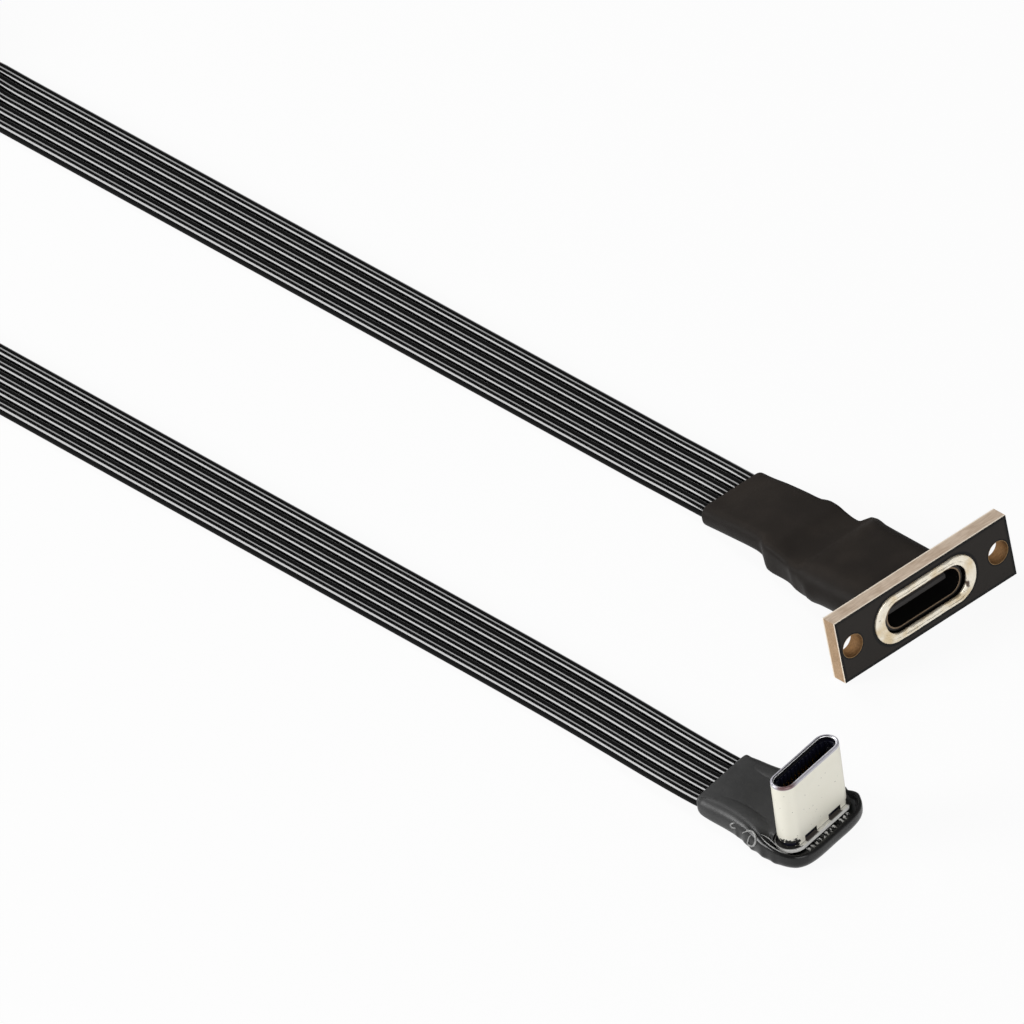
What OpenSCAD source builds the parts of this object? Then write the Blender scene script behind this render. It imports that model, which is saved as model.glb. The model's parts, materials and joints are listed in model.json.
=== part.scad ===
// Flat cable with a panel receptacle at one end and an upright plug at the other.
// Millimetres, +Z up. The table is z = 0, and the origin lies under the middle of
// the receptacle end. The receptacle faces +X with its nose a little up.

/* [Panel plate] */
// Plate left beyond each screw hole
hole_margin = 0.4; // [0.3:0.1:2]
// Height of the plate
plate_h = 6.4; // [5.8:0.2:9]
// Thickness of the plate
plate_t = 1.6; // [1.2:0.1:2.4]
// Distance between the two screw holes
hole_pitch = 17; // [15:0.5:24]
// Diameter of each screw hole
hole_d = 2.2; // [1.6:0.1:3.2]
// Width of the solder ring at the ends of the mouth
ring_end = 1.1; // [0.6:0.1:1.2]
// Width of the solder ring above and below the mouth
ring_side = 0.7; // [0.4:0.1:0.9]
// Height of the solder ring above the plate
ring_proud = 0.14; // [0.08:0.02:0.3]
// Depth of the window in the plate's coating that the ring lies in
window_deep = 0.04; // [0.02:0.01:0.08]
// Room between the shell and the ends of the plate's slot
slot_end = 0.28; // [0.1:0.02:0.4]
// Room between the shell and the sides of the plate's slot
slot_side = 0.12; // [0.08:0.02:0.2]

/* [Receptacle] */
// Width of the mouth inside the shell
mouth_w = 8.34; // [8.2:0.02:8.5]
// Height of the mouth inside the shell
mouth_h = 2.56; // [2.5:0.02:2.7]
// Sheet thickness of the shell
shell_t = 0.3; // [0.2:0.05:0.35]
// Length of the shell
shell_len = 10; // [8.5:0.1:11]
// Distance of the shell's rim behind the plate's front
rim_recess = 0.3; // [0.2:0.1:0.9]
// Width of the tongue
tongue_w = 6.69; // [6.4:0.01:6.8]
// Thickness of the tongue
tongue_t = 0.7; // [0.6:0.05:0.8]
// Distance of the tongue's tip behind the rim
tongue_recess = 0.9; // [0.6:0.1:1.4]
// Length of the housing's solid rear block
block_len = 4.9; // [4.5:0.1:5]

/* [Contacts] */
// Contacts in each row
contact_count = 12; // [8:2:12]
// Distance between neighbouring contacts
contact_pitch = 0.5; // [0.45:0.01:0.5]
// Width of a contact
contact_w = 0.22; // [0.18:0.02:0.28]
// Sheet thickness of a contact
contact_t = 0.14; // [0.1:0.02:0.16]

/* [Boards] */
// Thickness of both boards
board_t = 0.8; // [0.6:0.1:1]
// Length of the receptacle's board
inner_board_len = 6; // [5:0.2:7]
// Width of the receptacle's board
inner_board_w = 7.2; // [7:0.1:8.2]
// Reach of the plug's board behind the plug
plug_board_rear = 6.2; // [5.6:0.2:7]
// Reach of the plug's board in front of the plug
plug_board_front = 2.1; // [2:0.05:2.2]

/* [Ribbon] */
// Wires in the ribbon
wire_count = 5; // [4:1:5]
// Outer diameter of a wire, and so the pitch of the ribbon
wire_d = 1.34; // [1.1:0.02:1.4]
// Diameter of a bared conductor
conductor_d = 0.4; // [0.3:0.05:0.5]
// Length of a bared conductor
strip_len = 2.4; // [2:0.1:2.8]

/* [Plug] */
// Width of the plug's shell
plug_w = 8.25; // [8.1:0.05:8.3]
// Thickness of the plug's shell
plug_t = 2.4; // [2.3:0.05:2.45]
// Sheet thickness of the plug's shell
plug_wall = 0.25; // [0.2:0.05:0.3]
// Height of the shell's rim above the foot's underside
plug_reach = 7.1; // [6.4:0.1:8]
// Reach of the foot flange beyond the shell
foot_reach = 0.3; // [0.2:0.05:0.35]
// Height of the foot flange
foot_h = 0.35; // [0.25:0.05:0.4]
// Height of the windows above the foot
window_h = 0.5; // [0.3:0.05:0.6]

/* [Sleeves] */
// Wall of the heat-shrink sleeves
sleeve_wall = 0.35; // [0.25:0.05:0.4]
// Room between a sleeve and what it holds
shrink_gap = 0.06; // [0.04:0.01:0.12]
// Slack of the receptacle's sleeve on its near side and below
sleeve_bag = 0.36; // [0:0.02:0.4]
// Length of the sleeve behind the plate
sleeve_len = 23.7; // [22:0.1:26]
// Reach of the plug's sleeve behind the plug
plug_sleeve_rear = 10.2; // [9.4:0.1:11]

/* [Layout] */
// Place of the plug along X
plug_x = 26.1; // [22:0.1:29]
// Place of the plug along Y
plug_y = -25.4; // [-28:0.2:-23]
// Turn of the straight runs about Z
run_yaw = 4.3; // [3:0.1:6]
// Turn of the plug against the run that it ends
plug_turn = 6.1; // [0:0.1:8]

/* [Hidden] */
$fn = 48;
slack = 0.02;

// Receptacle, in the panel's own frame: front face of the plate is x = 0
plate_w = hole_pitch + hole_d + 2 * hole_margin;
shell_w = mouth_w + 2 * shell_t;
shell_h = mouth_h + 2 * shell_t;
slot_w = shell_w + 2 * slot_end;
slot_h = shell_h + 2 * slot_side;
ring_w = slot_w + 2 * ring_end;
ring_h = slot_h + 2 * ring_side;
ring_room = 0.03;
lining_t = 0.06;
collar_top = 0.7;
collar_depth = 1.3;
shell_front = -rim_recess;
shell_rear = shell_front - shell_len;
tab_len = 1.5;
tab_h = 1;
block_w = mouth_w - 2 * slack;
block_h = mouth_h - 2 * slack;
block_front = shell_rear + block_len;
root_len = 1.2;
root_t = tongue_t + 0.3;
root_w = tongue_w - 0.5;
tongue_tip = shell_front - tongue_recess;
tip_cham = 0.15;
pad_t = 0.1;
notch_x = tongue_tip - 2;
notch_len = 0.8;
notch_deep = 0.3;
mid_t = 0.12;
mid_tip = tongue_tip - 0.2;
mid_side = 0.12;

contact_span = (contact_count - 1) * contact_pitch;
contact_proud = 0.02;
strip_low = tongue_t / 2 + contact_proud - contact_t;
strip_tip = tongue_tip - 0.6;
jog_front = block_front - 1.2;
jog_len = 0.6;
tail_len = 1.6;
tail_end = shell_rear - tail_len;
fillet_len = 0.35;

inner_board_y = inner_board_w / 2 - mouth_w / 2 + slack;
inner_board_rear = shell_rear - inner_board_len;
rib_gap = 0.1;
solder_under = 0.06;
inner_rib_x = inner_board_rear - rib_gap;
inner_rib_z = board_t / 2 + solder_under + conductor_d / 2;
wire_span = (wire_count - 1) * wire_d;
wire_r = wire_d / 2;
ribbon_w = wire_count * wire_d;
dome_r = min(0.56, wire_r - 0.08);
dome_at = strip_len - 0.8;

// The sleeve's tail and the plate's rear edge both stand on the table
tail_half = wire_r + shrink_gap + sleeve_wall;
nose_up = atan((plate_h / 2 - tail_half) / sleeve_len);
sleeve_rear = -plate_t - sleeve_len;
bend_x = (inner_rib_x + sleeve_rear) / 2 - 0.8;
bend_z = inner_rib_z * 0.62;
exit_x = sleeve_rear + 1;
exit_z = 0.06;
panel_z = plate_t * sin(nose_up) + plate_h / 2 * cos(nose_up);
face_low = plate_h / 2 * sin(nose_up);
ring_low = ring_proud * cos(nose_up) + ring_h / 2 * sin(nose_up);
front_most = max(face_low, ring_low);
rear_most = sleeve_rear * cos(nose_up) - tail_half * sin(nose_up);
panel_x = -(front_most + rear_most) / 2;

// Plug, in its own frame: the plug's axis is z, the run comes in along +x
plug_board_z = sleeve_wall + shrink_gap;
plug_board_top = plug_board_z + board_t;
foot_z = plug_board_top + contact_t + 0.06;
foot_top = foot_z + foot_h;
rim_z = foot_z + plug_reach;
plug_span = plug_w - plug_t;
bead_r = 0.16;
in_half = plug_t / 2 - plug_wall;
spring_t = 0.09;
core_half = in_half - spring_t - slack;
core_span = plug_span;
core_top = rim_z - 0.45;
cave_floor = foot_z + 2;
cave_half = 0.62;
cave_w = 6.7;
plug_strip_x = 0.66;
plug_strip_top = core_top - 0.9;
bump_z = core_top - 1.8;
bump_in = 0.28;
plug_tail = 2 - fillet_len;
window_w = 1.5;
window_y = 1.65;
end_cut = 3.3;
leg_x = 0.8;
leg_t = plug_wall;
leg_y = plug_span / 2 + plug_t / 2 - leg_t;
leg_z = plug_board_z + 0.2;
leg_slot = 0.1;
board_head_w = 9.2;
board_neck_w = 7.2;
board_head_rear = 2.2;
board_cham = 1.1;
latch_t = 0.15;
latch_y = cave_w / 2 + 0.08;
latch_w = 0.7;
latch_hook = 0.28;
latch_top = core_top - 0.6;
latch_floor = foot_z + 0.9;
plug_rib_x = -plug_board_rear - rib_gap;
plug_rib_z = plug_board_top + solder_under + conductor_d / 2;
plug_sleeve_front = 2.7;
plug_sleeve_half = board_head_w / 2 + shrink_gap + sleeve_wall + 0.25;
mouth_back = -plug_t / 2 - 0.12;
mouth_front = 2.25;
mouth_len = 9.5;
mouth_floor = plug_board_top + 0.02;

function on_panel(p) = [
  panel_x + p[0] * cos(nose_up) - p[2] * sin(nose_up),
  p[1],
  panel_z + p[0] * sin(nose_up) + p[2] * cos(nose_up)
];
function turned(p, a) = [
  plug_x + p[0] * cos(a) - p[1] * sin(a),
  plug_y + p[0] * sin(a) + p[1] * cos(a),
  p[2]
];
function on_run(p) = turned(p, run_yaw);
function on_plug(p) = turned(p, run_yaw + plug_turn);
function unit(v) = v / norm(v);
function run_row(r) = concat(
  on_run([r[0], r[1], wire_r + r[2] + wire_span / 2 * sin(r[3])]), [r[3]]);

// Route of the ribbon's middle: out along the upper run, on edge round the loop, and back.
// Rows are x, y, height above the lying ribbon, roll, in the frame of the runs.
leave = on_panel([sleeve_rear, inner_board_y, 0]) - [plug_x, plug_y, 0];
leave_x = leave[0] * cos(run_yaw) + leave[1] * sin(run_yaw);
run_gap = leave[1] * cos(run_yaw) - leave[0] * sin(run_yaw) + 0.24;
loop_r = run_gap / 2;
side_step = plug_sleeve_rear * sin(plug_turn);
twist = [[-128, 0, 0], [-131, 0.06, 5], [-134, 0.06, 20], [-137, 0.06, 37],
  [-140, 0.06, 54], [-143, 0.06, 70], [-146, 0.06, 84], [-149, 0, 90]];
twist_end = len(twist) - 1;
run_rows = concat(
  [[leave_x - 2.7, run_gap - 0.08, 0.18, 0], [leave_x - 6.2, run_gap, 0.05, 0]],
  [for (x = [leave_x - 10, -60, -80, -100]) [x, run_gap, 0, 0]],
  [for (t = twist) [t[0], run_gap, t[1], t[2]]],
  [for (a = [22.5 : 22.5 : 157.5])
    [twist[twist_end][0] - loop_r * sin(a), loop_r * (1 + cos(a)), 0, 90]],
  [for (i = [twist_end : -1 : 0]) [twist[i][0], 0, twist[i][1], twist[i][2]]],
  [for (x = [-100, -80, -60, -40, -26]) [x, 0, 0, 0]],
  [for (r = [[-21, 0.09, 0.05], [-17, 0.45, 0.25], [-14, 0.83, 0.5], [-12, 1, 0.72]])
    [r[0], -r[1] * side_step, r[2], 0]]
);
route = concat(
  [for (p = [[inner_rib_x, inner_rib_z], [inner_rib_x - 1.5, inner_rib_z], [bend_x, bend_z],
             [exit_x, exit_z], [sleeve_rear, 0]])
    concat(on_panel([p[0], inner_board_y, p[1]]), [0])],
  [for (r = run_rows) run_row(r)],
  [for (p = [-plug_sleeve_rear, plug_rib_x - 1.5, plug_rib_x])
    concat(on_plug([p, 0, plug_rib_z]), [0])]
);
last = len(route) - 1;
function spot(i) = [route[i][0], route[i][1], route[i][2]];
function heading(i) = unit(spot(min(i + 1, last)) - spot(max(i - 1, 0)));
function level(t) = unit(cross([0, 0, 1], t));

// Outline of the bonded wires: eight-sided lobes that share their upright flats
flat = wire_r * tan(22.5);
lobes = [for (k = [0 : wire_count - 1]) k * wire_d - wire_span / 2];
upper = concat(
  [for (a = lobes) each [[a - wire_r, flat], [a - flat, wire_r], [a + flat, wire_r]]],
  [[ribbon_w / 2, flat]]);
lower = [for (i = [len(upper) - 1 : -1 : 0]) [upper[i][0], -upper[i][1]]];
outline = concat(upper, lower);
lobe_faces = [for (k = [0 : wire_count - 1]) concat(
  [for (j = [0 : 3]) 3 * k + j], [for (j = [3 : -1 : 0]) len(outline) - 1 - 3 * k - j])];

function ribbon_ring(i) =
  let (t = heading(i), s = level(t), u = cross(t, s), r = route[i][3])
  let (w = s * cos(r) + u * sin(r), n = u * cos(r) - s * sin(r))
  [for (q = outline) spot(i) + w * q[0] + n * q[1]];

// Round-cornered ring of a sleeve's row, drawn in by inset and placed at x
section_n = 32;
past = 0.5;
function sign_of(v) = v < 0 ? -1 : 1;
function sleeve_ring(row, inset, x, side = 0) =
  let (half = row[1] - inset, low = row[2] + inset, high = row[3] - inset, r = row[4] - inset)
  [for (j = [0 : section_n - 1])
    let (a = (j + 0.5) * 360 / section_n)
    [x,
     side + sign_of(cos(a)) * (half - r) + r * cos(a),
     (low + high) / 2 + sign_of(sin(a)) * ((high - low) / 2 - r) + r * sin(a)]];

// Receptacle sleeve, rows of x, half width, low edge, high edge, corner radius, place across
// and share of the slack, from the front
cuff = sleeve_wall + shrink_gap;
big_half = shell_w / 2 + cuff;
big_h = shell_h / 2 + cuff;
mid_half = inner_board_w / 2 + cuff;
mid_low = -board_t / 2 - contact_t - cuff;
mid_high = board_t / 2 + dome_r + cuff;
mid_r = cuff + 0.1;
rib_half = ribbon_w / 2 + cuff;
rib_high = inner_rib_z + wire_r + cuff;
rib_low = inner_rib_z - wire_r - cuff;
rib_r = 0.9 * tail_half;
tight_rows = [
  [-plate_t, big_half + 0.1, -big_h, big_h, big_h, 0, 0.3],
  [-plate_t - 1.4, big_half, -big_h, big_h, big_h, 0, 0.6],
  [shell_rear + 1.6, big_half + 0.05, -big_h, big_h, big_h, 0, 1],
  [shell_rear - 0.1, big_half, -big_h, big_h, big_h, 0, 1],
  [shell_rear - tab_len - 0.1, big_half, mid_low - 0.15, mid_high, mid_r, 0, 1],
  [shell_rear - tab_len - 0.9, mid_half, mid_low, mid_high, mid_r, inner_board_y, 1],
  [inner_board_rear + 0.6, mid_half, mid_low, rib_high, mid_r, inner_board_y, 1],
  [inner_rib_x - 0.3, mid_half - 0.02, min(mid_low, rib_low), rib_high, mid_r, inner_board_y, 0.4],
  [inner_rib_x - 1.3, rib_half + 0.12, rib_low, rib_high, rib_r, inner_board_y, 0],
  [bend_x, rib_half, bend_z - tail_half, bend_z + tail_half, rib_r, inner_board_y, 0],
  [exit_x, rib_half, exit_z - tail_half, exit_z + tail_half, rib_r, inner_board_y, 0],
  [sleeve_rear, rib_half, -tail_half, tail_half, rib_r, inner_board_y, 0]
];
sleeve_rows = [for (r = tight_rows) let (b = sleeve_bag * r[6])
  [r[0], r[1] + b / 2, r[2] - b, r[3], r[4], r[5] - b / 2]];

// Plug sleeve, rows from the rear; the last rows round off the nose
plug_rib_low = plug_rib_z - tail_half;
plug_rib_high = plug_rib_z + tail_half;
neck_half = max(board_neck_w / 2 + cuff, rib_half);
head_high = foot_top + 0.16 + cuff;
head_r = cuff + 0.2;
nose_r = cuff + 0.15;
plug_rows = [
  [-plug_sleeve_rear, rib_half, plug_rib_low, plug_rib_high, rib_r],
  [plug_rib_x - 0.6, neck_half + 0.1, 0.1, plug_rib_high, rib_r],
  [-plug_board_rear + 0.5, neck_half + 0.2, 0, plug_rib_high, head_r],
  [-board_head_rear - 1.2, plug_sleeve_half - 0.3, 0, plug_rib_high - 0.05, head_r],
  [-board_head_rear + 0.2, plug_sleeve_half - 0.1, 0, head_high, head_r],
  [0, plug_sleeve_half, 0, head_high - 0.35, head_r],
  [1.3, plug_sleeve_half - 0.05, 0, head_high - 0.55, head_r],
  [2.1, plug_sleeve_half - 0.5, 0, head_high - 0.6, nose_r],
  [2.5, plug_sleeve_half - 1.2, 0.03, head_high - 0.65, nose_r],
  [plug_sleeve_front, plug_sleeve_half - 2, 0.2, head_high - 0.8, nose_r]
];
nose_in = (plug_sleeve_front - sleeve_wall) / plug_sleeve_front;

// Frames
module at_panel() {
  translate([panel_x, 0, panel_z]) rotate([0, -nose_up, 0]) children();
}
module at_plug() {
  translate([plug_x, plug_y, 0]) rotate(run_yaw + plug_turn) children();
}

// Helpers
module stadium(l, h) {
  square([l - h, h], center = true);
  for (s = [-1, 1]) translate([s * (l - h) / 2, 0]) circle(d = h);
}
module along_x(x0, x1) {
  translate([min(x0, x1), 0, 0]) rotate([90, 0, 90]) linear_extrude(abs(x1 - x0)) children();
}
module blade(w) {
  rotate([90, 0, 0]) linear_extrude(w, center = true) children();
}
// Profile in radius and height, carried round a racetrack with its long axis on Y
module racetrack(span) {
  for (s = [90, 270]) rotate(s) {
    translate([span / 2, 0, 0]) rotate(-90) rotate_extrude(angle = 180) children();
    translate([-span / 2, 0, 0]) rotate([90, 0, 90]) linear_extrude(span) children();
  }
}
// Closed skin through rings of equal point count; the ends may be given as several faces
module skin(rings, ends = []) {
  n = len(rings[0]);
  m = len(rings);
  caps = len(ends) > 0 ? ends : [[for (j = [0 : n - 1]) j]];
  polyhedron(
    points = [for (r = rings) each r],
    faces = concat(
      [for (c = caps) [for (j = [len(c) - 1 : -1 : 0]) c[j]]],
      [for (i = [0 : m - 2], j = [0 : n - 1])
        [i * n + j, (i + 1) * n + (j + 1) % n, (i + 1) * n + j]],
      [for (i = [0 : m - 2], j = [0 : n - 1])
        [i * n + j, i * n + (j + 1) % n, (i + 1) * n + (j + 1) % n]],
      [for (c = caps) [for (j = c) (m - 1) * n + j]]));
}
module per_contact() {
  for (i = [0 : contact_count - 1])
    translate([0, i * contact_pitch - contact_span / 2, 0]) children();
}
module per_wire() {
  for (y = lobes) translate([0, y, 0]) children();
}

// Receptacle end
module panel_plate() {
  color("#26241f") at_panel() difference() {
    along_x(-plate_t, 0) square([plate_w, plate_h], center = true);
    along_x(-plate_t - 1, 1) stadium(slot_w, slot_h);
    along_x(-window_deep, 1) stadium(ring_w + 2 * ring_room, ring_h + 2 * ring_room);
    for (s = [-1, 1]) translate([-plate_t / 2, s * hole_pitch / 2, 0])
      rotate([0, 90, 0]) cylinder(d = hole_d, h = plate_t + 2, center = true);
  }
}

module solder_ring() {
  color("#cfcdc2") at_panel() {
    along_x(-window_deep, ring_proud) difference() {
      stadium(ring_w, ring_h);
      stadium(slot_w - 2 * lining_t, slot_h - 2 * lining_t);
    }
    along_x(-collar_depth, -window_deep) difference() {
      stadium(slot_w, slot_h);
      stadium(slot_w - 2 * lining_t, slot_h - 2 * lining_t);
    }
    along_x(-collar_depth, -collar_top) difference() {
      stadium(slot_w, slot_h);
      stadium(shell_w, shell_h);
    }
  }
}

module receptacle_shell() {
  color("#b9b3a4") at_panel() {
    along_x(shell_rear, shell_front) difference() {
      stadium(shell_w, shell_h);
      stadium(mouth_w, mouth_h);
    }
    for (s = [-1, 1]) translate([shell_rear - tab_len / 2, s * (mouth_w + shell_t) / 2, 0])
      cube([tab_len, shell_t, tab_h], center = true);
  }
}

module contact_strip() {
  high = board_t / 2;
  blade(contact_w) polygon([
    [strip_tip, strip_low], [jog_front, strip_low], [jog_front - jog_len, high],
    [tail_end, high], [tail_end, high + contact_t], [jog_front - jog_len, high + contact_t],
    [jog_front, strip_low + contact_t], [strip_tip, strip_low + contact_t]]);
}
module contact_row() {
  per_contact() contact_strip();
}

module mid_sheet() {
  half = tongue_w / 2 - mid_side;
  in = tongue_w / 2 - notch_deep;
  translate([0, 0, -mid_t / 2]) linear_extrude(mid_t) polygon([
    [mid_tip, half], [notch_x, half], [notch_x, in], [notch_x - notch_len, in],
    [notch_x - notch_len, half], [shell_rear + slack, half],
    [shell_rear + slack, -half], [notch_x - notch_len, -half],
    [notch_x - notch_len, -in], [notch_x, -in], [notch_x, -half], [mid_tip, -half]]);
}

module receptacle_housing() {
  color("#2b2d33") at_panel() difference() {
    union() {
      along_x(shell_rear + slack, block_front) stadium(block_w, block_h);
      along_x(block_front - 0.5, block_front + root_len) square([root_w, root_t], center = true);
      blade(tongue_w) polygon([
        [block_front - 0.5, tongue_t / 2], [tongue_tip - tip_cham, tongue_t / 2],
        [tongue_tip, tongue_t / 2 - tip_cham], [tongue_tip, tip_cham - tongue_t / 2],
        [tongue_tip - tip_cham, -tongue_t / 2], [block_front - 0.5, -tongue_t / 2]]);
    }
    for (s = [-1, 1]) translate([notch_x - notch_len / 2, s * tongue_w / 2, 0])
      cube([notch_len, 2 * notch_deep, tongue_t + 1], center = true);
    mid_sheet();
    contact_row();
    mirror([0, 0, 1]) contact_row();
  }
}

module receptacle_mid_plate() {
  color("#8d8a84") at_panel() mid_sheet();
}

module receptacle_ground_pads() {
  color("#9a968c") at_panel() for (s = [-1, 1])
    translate([block_front + root_len / 2, 0, s * (root_t + pad_t) / 2])
      cube([root_len, root_w, pad_t], center = true);
}

module receptacle_contacts_upper() {
  color("#c8a64b") at_panel() contact_row();
}

module receptacle_contacts_lower() {
  color("#c8a64b") at_panel() mirror([0, 0, 1]) contact_row();
}

module receptacle_board() {
  color("#1f3d2c") at_panel() along_x(inner_board_rear, shell_rear)
    translate([inner_board_y, 0]) square([inner_board_w, board_t], center = true);
}

module receptacle_pin_solder() {
  color("#c4c4c0") at_panel() for (m = [0, 1]) mirror([0, 0, m]) per_contact()
    blade(contact_w) polygon([
      [tail_end, board_t / 2], [tail_end - fillet_len, board_t / 2],
      [tail_end, board_t / 2 + contact_t]]);
}

module wire_end() {
  rotate([0, 90, 0]) cylinder(d = conductor_d, h = strip_len);
}
module wire_joint() {
  floor = -conductor_d / 2 - solder_under;
  difference() {
    translate([dome_at, 0, floor]) intersection() {
      sphere(dome_r);
      translate([-1, -1, 0]) cube([2, 2, 2]);
    }
    wire_end();
  }
}

module receptacle_wire_ends() {
  color("#d8b58a") at_panel() translate([inner_rib_x, inner_board_y, inner_rib_z])
    per_wire() wire_end();
}

module receptacle_wire_solder() {
  color("#c4c4c0") at_panel() translate([inner_rib_x, inner_board_y, inner_rib_z])
    per_wire() wire_joint();
}

module receptacle_sleeve() {
  end = len(sleeve_rows) - 1;
  color("#33302e") at_panel() difference() {
    skin([for (r = sleeve_rows) sleeve_ring(r, 0, r[0], r[5])]);
    skin([for (i = [0 : end]) let (r = sleeve_rows[i])
      sleeve_ring(r, sleeve_wall, r[0] + (i == 0 ? past : i == end ? -past : 0), r[5])]);
  }
}

// Ribbon
module ribbon() {
  color("#101010") skin([for (i = [0 : last]) ribbon_ring(i)], lobe_faces);
}

// Plug end
module plug_wire_ends() {
  color("#d8b58a") at_plug() translate([plug_rib_x, 0, plug_rib_z]) per_wire() wire_end();
}

module plug_wire_solder() {
  color("#c4c4c0") at_plug() translate([plug_rib_x, 0, plug_rib_z]) per_wire() wire_joint();
}

module plug_board() {
  head = board_head_w / 2;
  neck = board_neck_w / 2;
  color("#1c2a22") at_plug() difference() {
    translate([0, 0, plug_board_z]) linear_extrude(board_t) polygon([
      [-plug_board_rear, neck], [-board_head_rear - 1, neck], [-board_head_rear, head],
      [plug_board_front - board_cham, head], [plug_board_front, head - board_cham],
      [plug_board_front, board_cham - head], [plug_board_front - board_cham, -head],
      [-board_head_rear, -head], [-board_head_rear - 1, -neck], [-plug_board_rear, -neck]]);
    for (s = [-1, 1]) translate([0, s * (leg_y + leg_t / 2), plug_board_z + board_t / 2])
      cube([leg_x + 2 * leg_slot, leg_t + 2 * leg_slot, board_t + 1], center = true);
  }
}

module plug_strip() {
  z0 = plug_board_top;
  x0 = plug_strip_x;
  x1 = x0 + contact_t;
  blade(contact_w) polygon([
    [plug_tail, z0], [plug_tail, z0 + contact_t], [x1, z0 + contact_t], [x1, bump_z - 1.6],
    [x1 - bump_in, bump_z], [x1, plug_strip_top], [x0, plug_strip_top],
    [x0 - bump_in, bump_z], [x0, bump_z - 1.6], [x0, z0]]);
}
module plug_row() {
  per_contact() plug_strip();
}

module plug_contacts_front() {
  color("#c8a64b") at_plug() plug_row();
}

module plug_contacts_rear() {
  color("#c8a64b") at_plug() rotate(180) plug_row();
}

module plug_pin_solder() {
  color("#d6d6d2") at_plug() for (a = [0, 180]) rotate(a) per_contact()
    blade(contact_w) polygon([
      [plug_tail, plug_board_top], [plug_tail + fillet_len, plug_board_top],
      [plug_tail, plug_board_top + contact_t]]);
}

module latch_arm() {
  tip = latch_y - latch_hook;
  rotate([90, 0, 90]) linear_extrude(latch_w, center = true) polygon([
    [0, latch_floor], [latch_y + latch_t, latch_floor], [latch_y + latch_t, latch_top - 1.2],
    [tip + latch_t, latch_top - 0.5], [latch_y + latch_t, latch_top],
    [latch_y, latch_top], [tip, latch_top - 0.5], [latch_y, latch_top - 1.2],
    [latch_y, latch_floor + latch_t], [0, latch_floor + latch_t]]);
}
module latch_spring() {
  for (a = [0, 180]) rotate(a) latch_arm();
}

module core_prism(low, high) {
  translate([0, 0, low]) linear_extrude(high - low) rotate(90)
    stadium(core_span + 2 * core_half, 2 * core_half);
}

module plug_housing() {
  groove = contact_w + 0.08;
  arm = latch_w + 0.06;
  color("#22252b") at_plug() difference() {
    core_prism(plug_board_top, core_top);
    translate([-cave_half, -cave_w / 2, cave_floor]) cube([2 * cave_half, cave_w, plug_reach]);
    for (a = [0, 180]) rotate(a) {
      plug_row();
      per_contact() translate([0, -groove / 2, cave_floor])
        cube([plug_strip_x + contact_t, groove, plug_reach]);
      translate([-arm / 2, 0, cave_floor]) cube([arm, latch_y + latch_t + slack, plug_reach]);
    }
    latch_spring();
  }
}

module plug_latch() {
  color("#a7a49c") at_plug() latch_spring();
}

module plug_ground_springs() {
  color("#c9c6bc") at_plug() for (s = [-1, 1])
    translate([s * (core_half + spring_t / 2), 0, (core_top + bump_z) / 2])
      cube([spring_t, plug_span - 0.4, core_top - bump_z], center = true);
}

module shell_profile() {
  out = plug_t / 2;
  translate([in_half, foot_z]) square([plug_wall, rim_z - bead_r - foot_z]);
  translate([out - bead_r, rim_z - bead_r]) circle(bead_r);
  translate([in_half, foot_z]) square([plug_wall + foot_reach, foot_h]);
}

module plug_shell() {
  color("#dcd9c8") at_plug() {
    difference() {
      racetrack(plug_span) shell_profile();
      for (s = [-1, 1]) translate([0, s * window_y, foot_top + window_h / 2])
        cube([2 * plug_t, window_w, window_h], center = true);
      for (s = [-1, 1]) translate([0, s * (end_cut + plug_w / 2), foot_top + window_h / 2])
        cube([2 * plug_t, plug_w, window_h], center = true);
    }
    for (s = [-1, 1]) translate([0, s * (leg_y + leg_t / 2), (leg_z + foot_z + 0.1) / 2])
      cube([leg_x, leg_t, foot_z + 0.1 - leg_z], center = true);
  }
}

module plug_sleeve() {
  end = len(plug_rows) - 1;
  color("#3d3d3d") at_plug() difference() {
    skin([for (i = [end : -1 : 0]) sleeve_ring(plug_rows[i], 0, plug_rows[i][0])]);
    skin([for (i = [end : -1 : 0]) let (r = plug_rows[i])
      sleeve_ring(r, sleeve_wall, r[0] > 0 ? r[0] * nose_in : i == 0 ? r[0] - past : r[0])]);
    translate([(mouth_front + mouth_back) / 2, 0, mouth_floor]) linear_extrude(plug_reach)
      rotate(90) stadium(mouth_len, mouth_front - mouth_back);
  }
}

panel_plate();
solder_ring();
receptacle_shell();
receptacle_housing();
receptacle_mid_plate();
receptacle_ground_pads();
receptacle_contacts_upper();
receptacle_contacts_lower();
receptacle_board();
receptacle_pin_solder();
receptacle_wire_ends();
receptacle_wire_solder();
receptacle_sleeve();
ribbon();
plug_wire_ends();
plug_wire_solder();
plug_board();
plug_contacts_front();
plug_contacts_rear();
plug_pin_solder();
plug_housing();
plug_latch();
plug_ground_springs();
plug_shell();
plug_sleeve();
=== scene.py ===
"""Dress a flat ribbon cable with a panel receptacle at one end and an upright plug at the other.

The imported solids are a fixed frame. The rigid ones stay and get their finishes. The ribbon,
both heat-shrink sleeves and the solder ring are replaced by surfaces worked out on parameter
grids. Sizes of pieces are in millimetres. Meshes, lamps and the camera's distance are in metres.
"""
import json
import logging
import math
from dataclasses import dataclass
from enum import Enum
from typing import Any, Optional, Protocol, Union

import bmesh
import bpy
import numpy as np
from mathutils import Matrix

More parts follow.
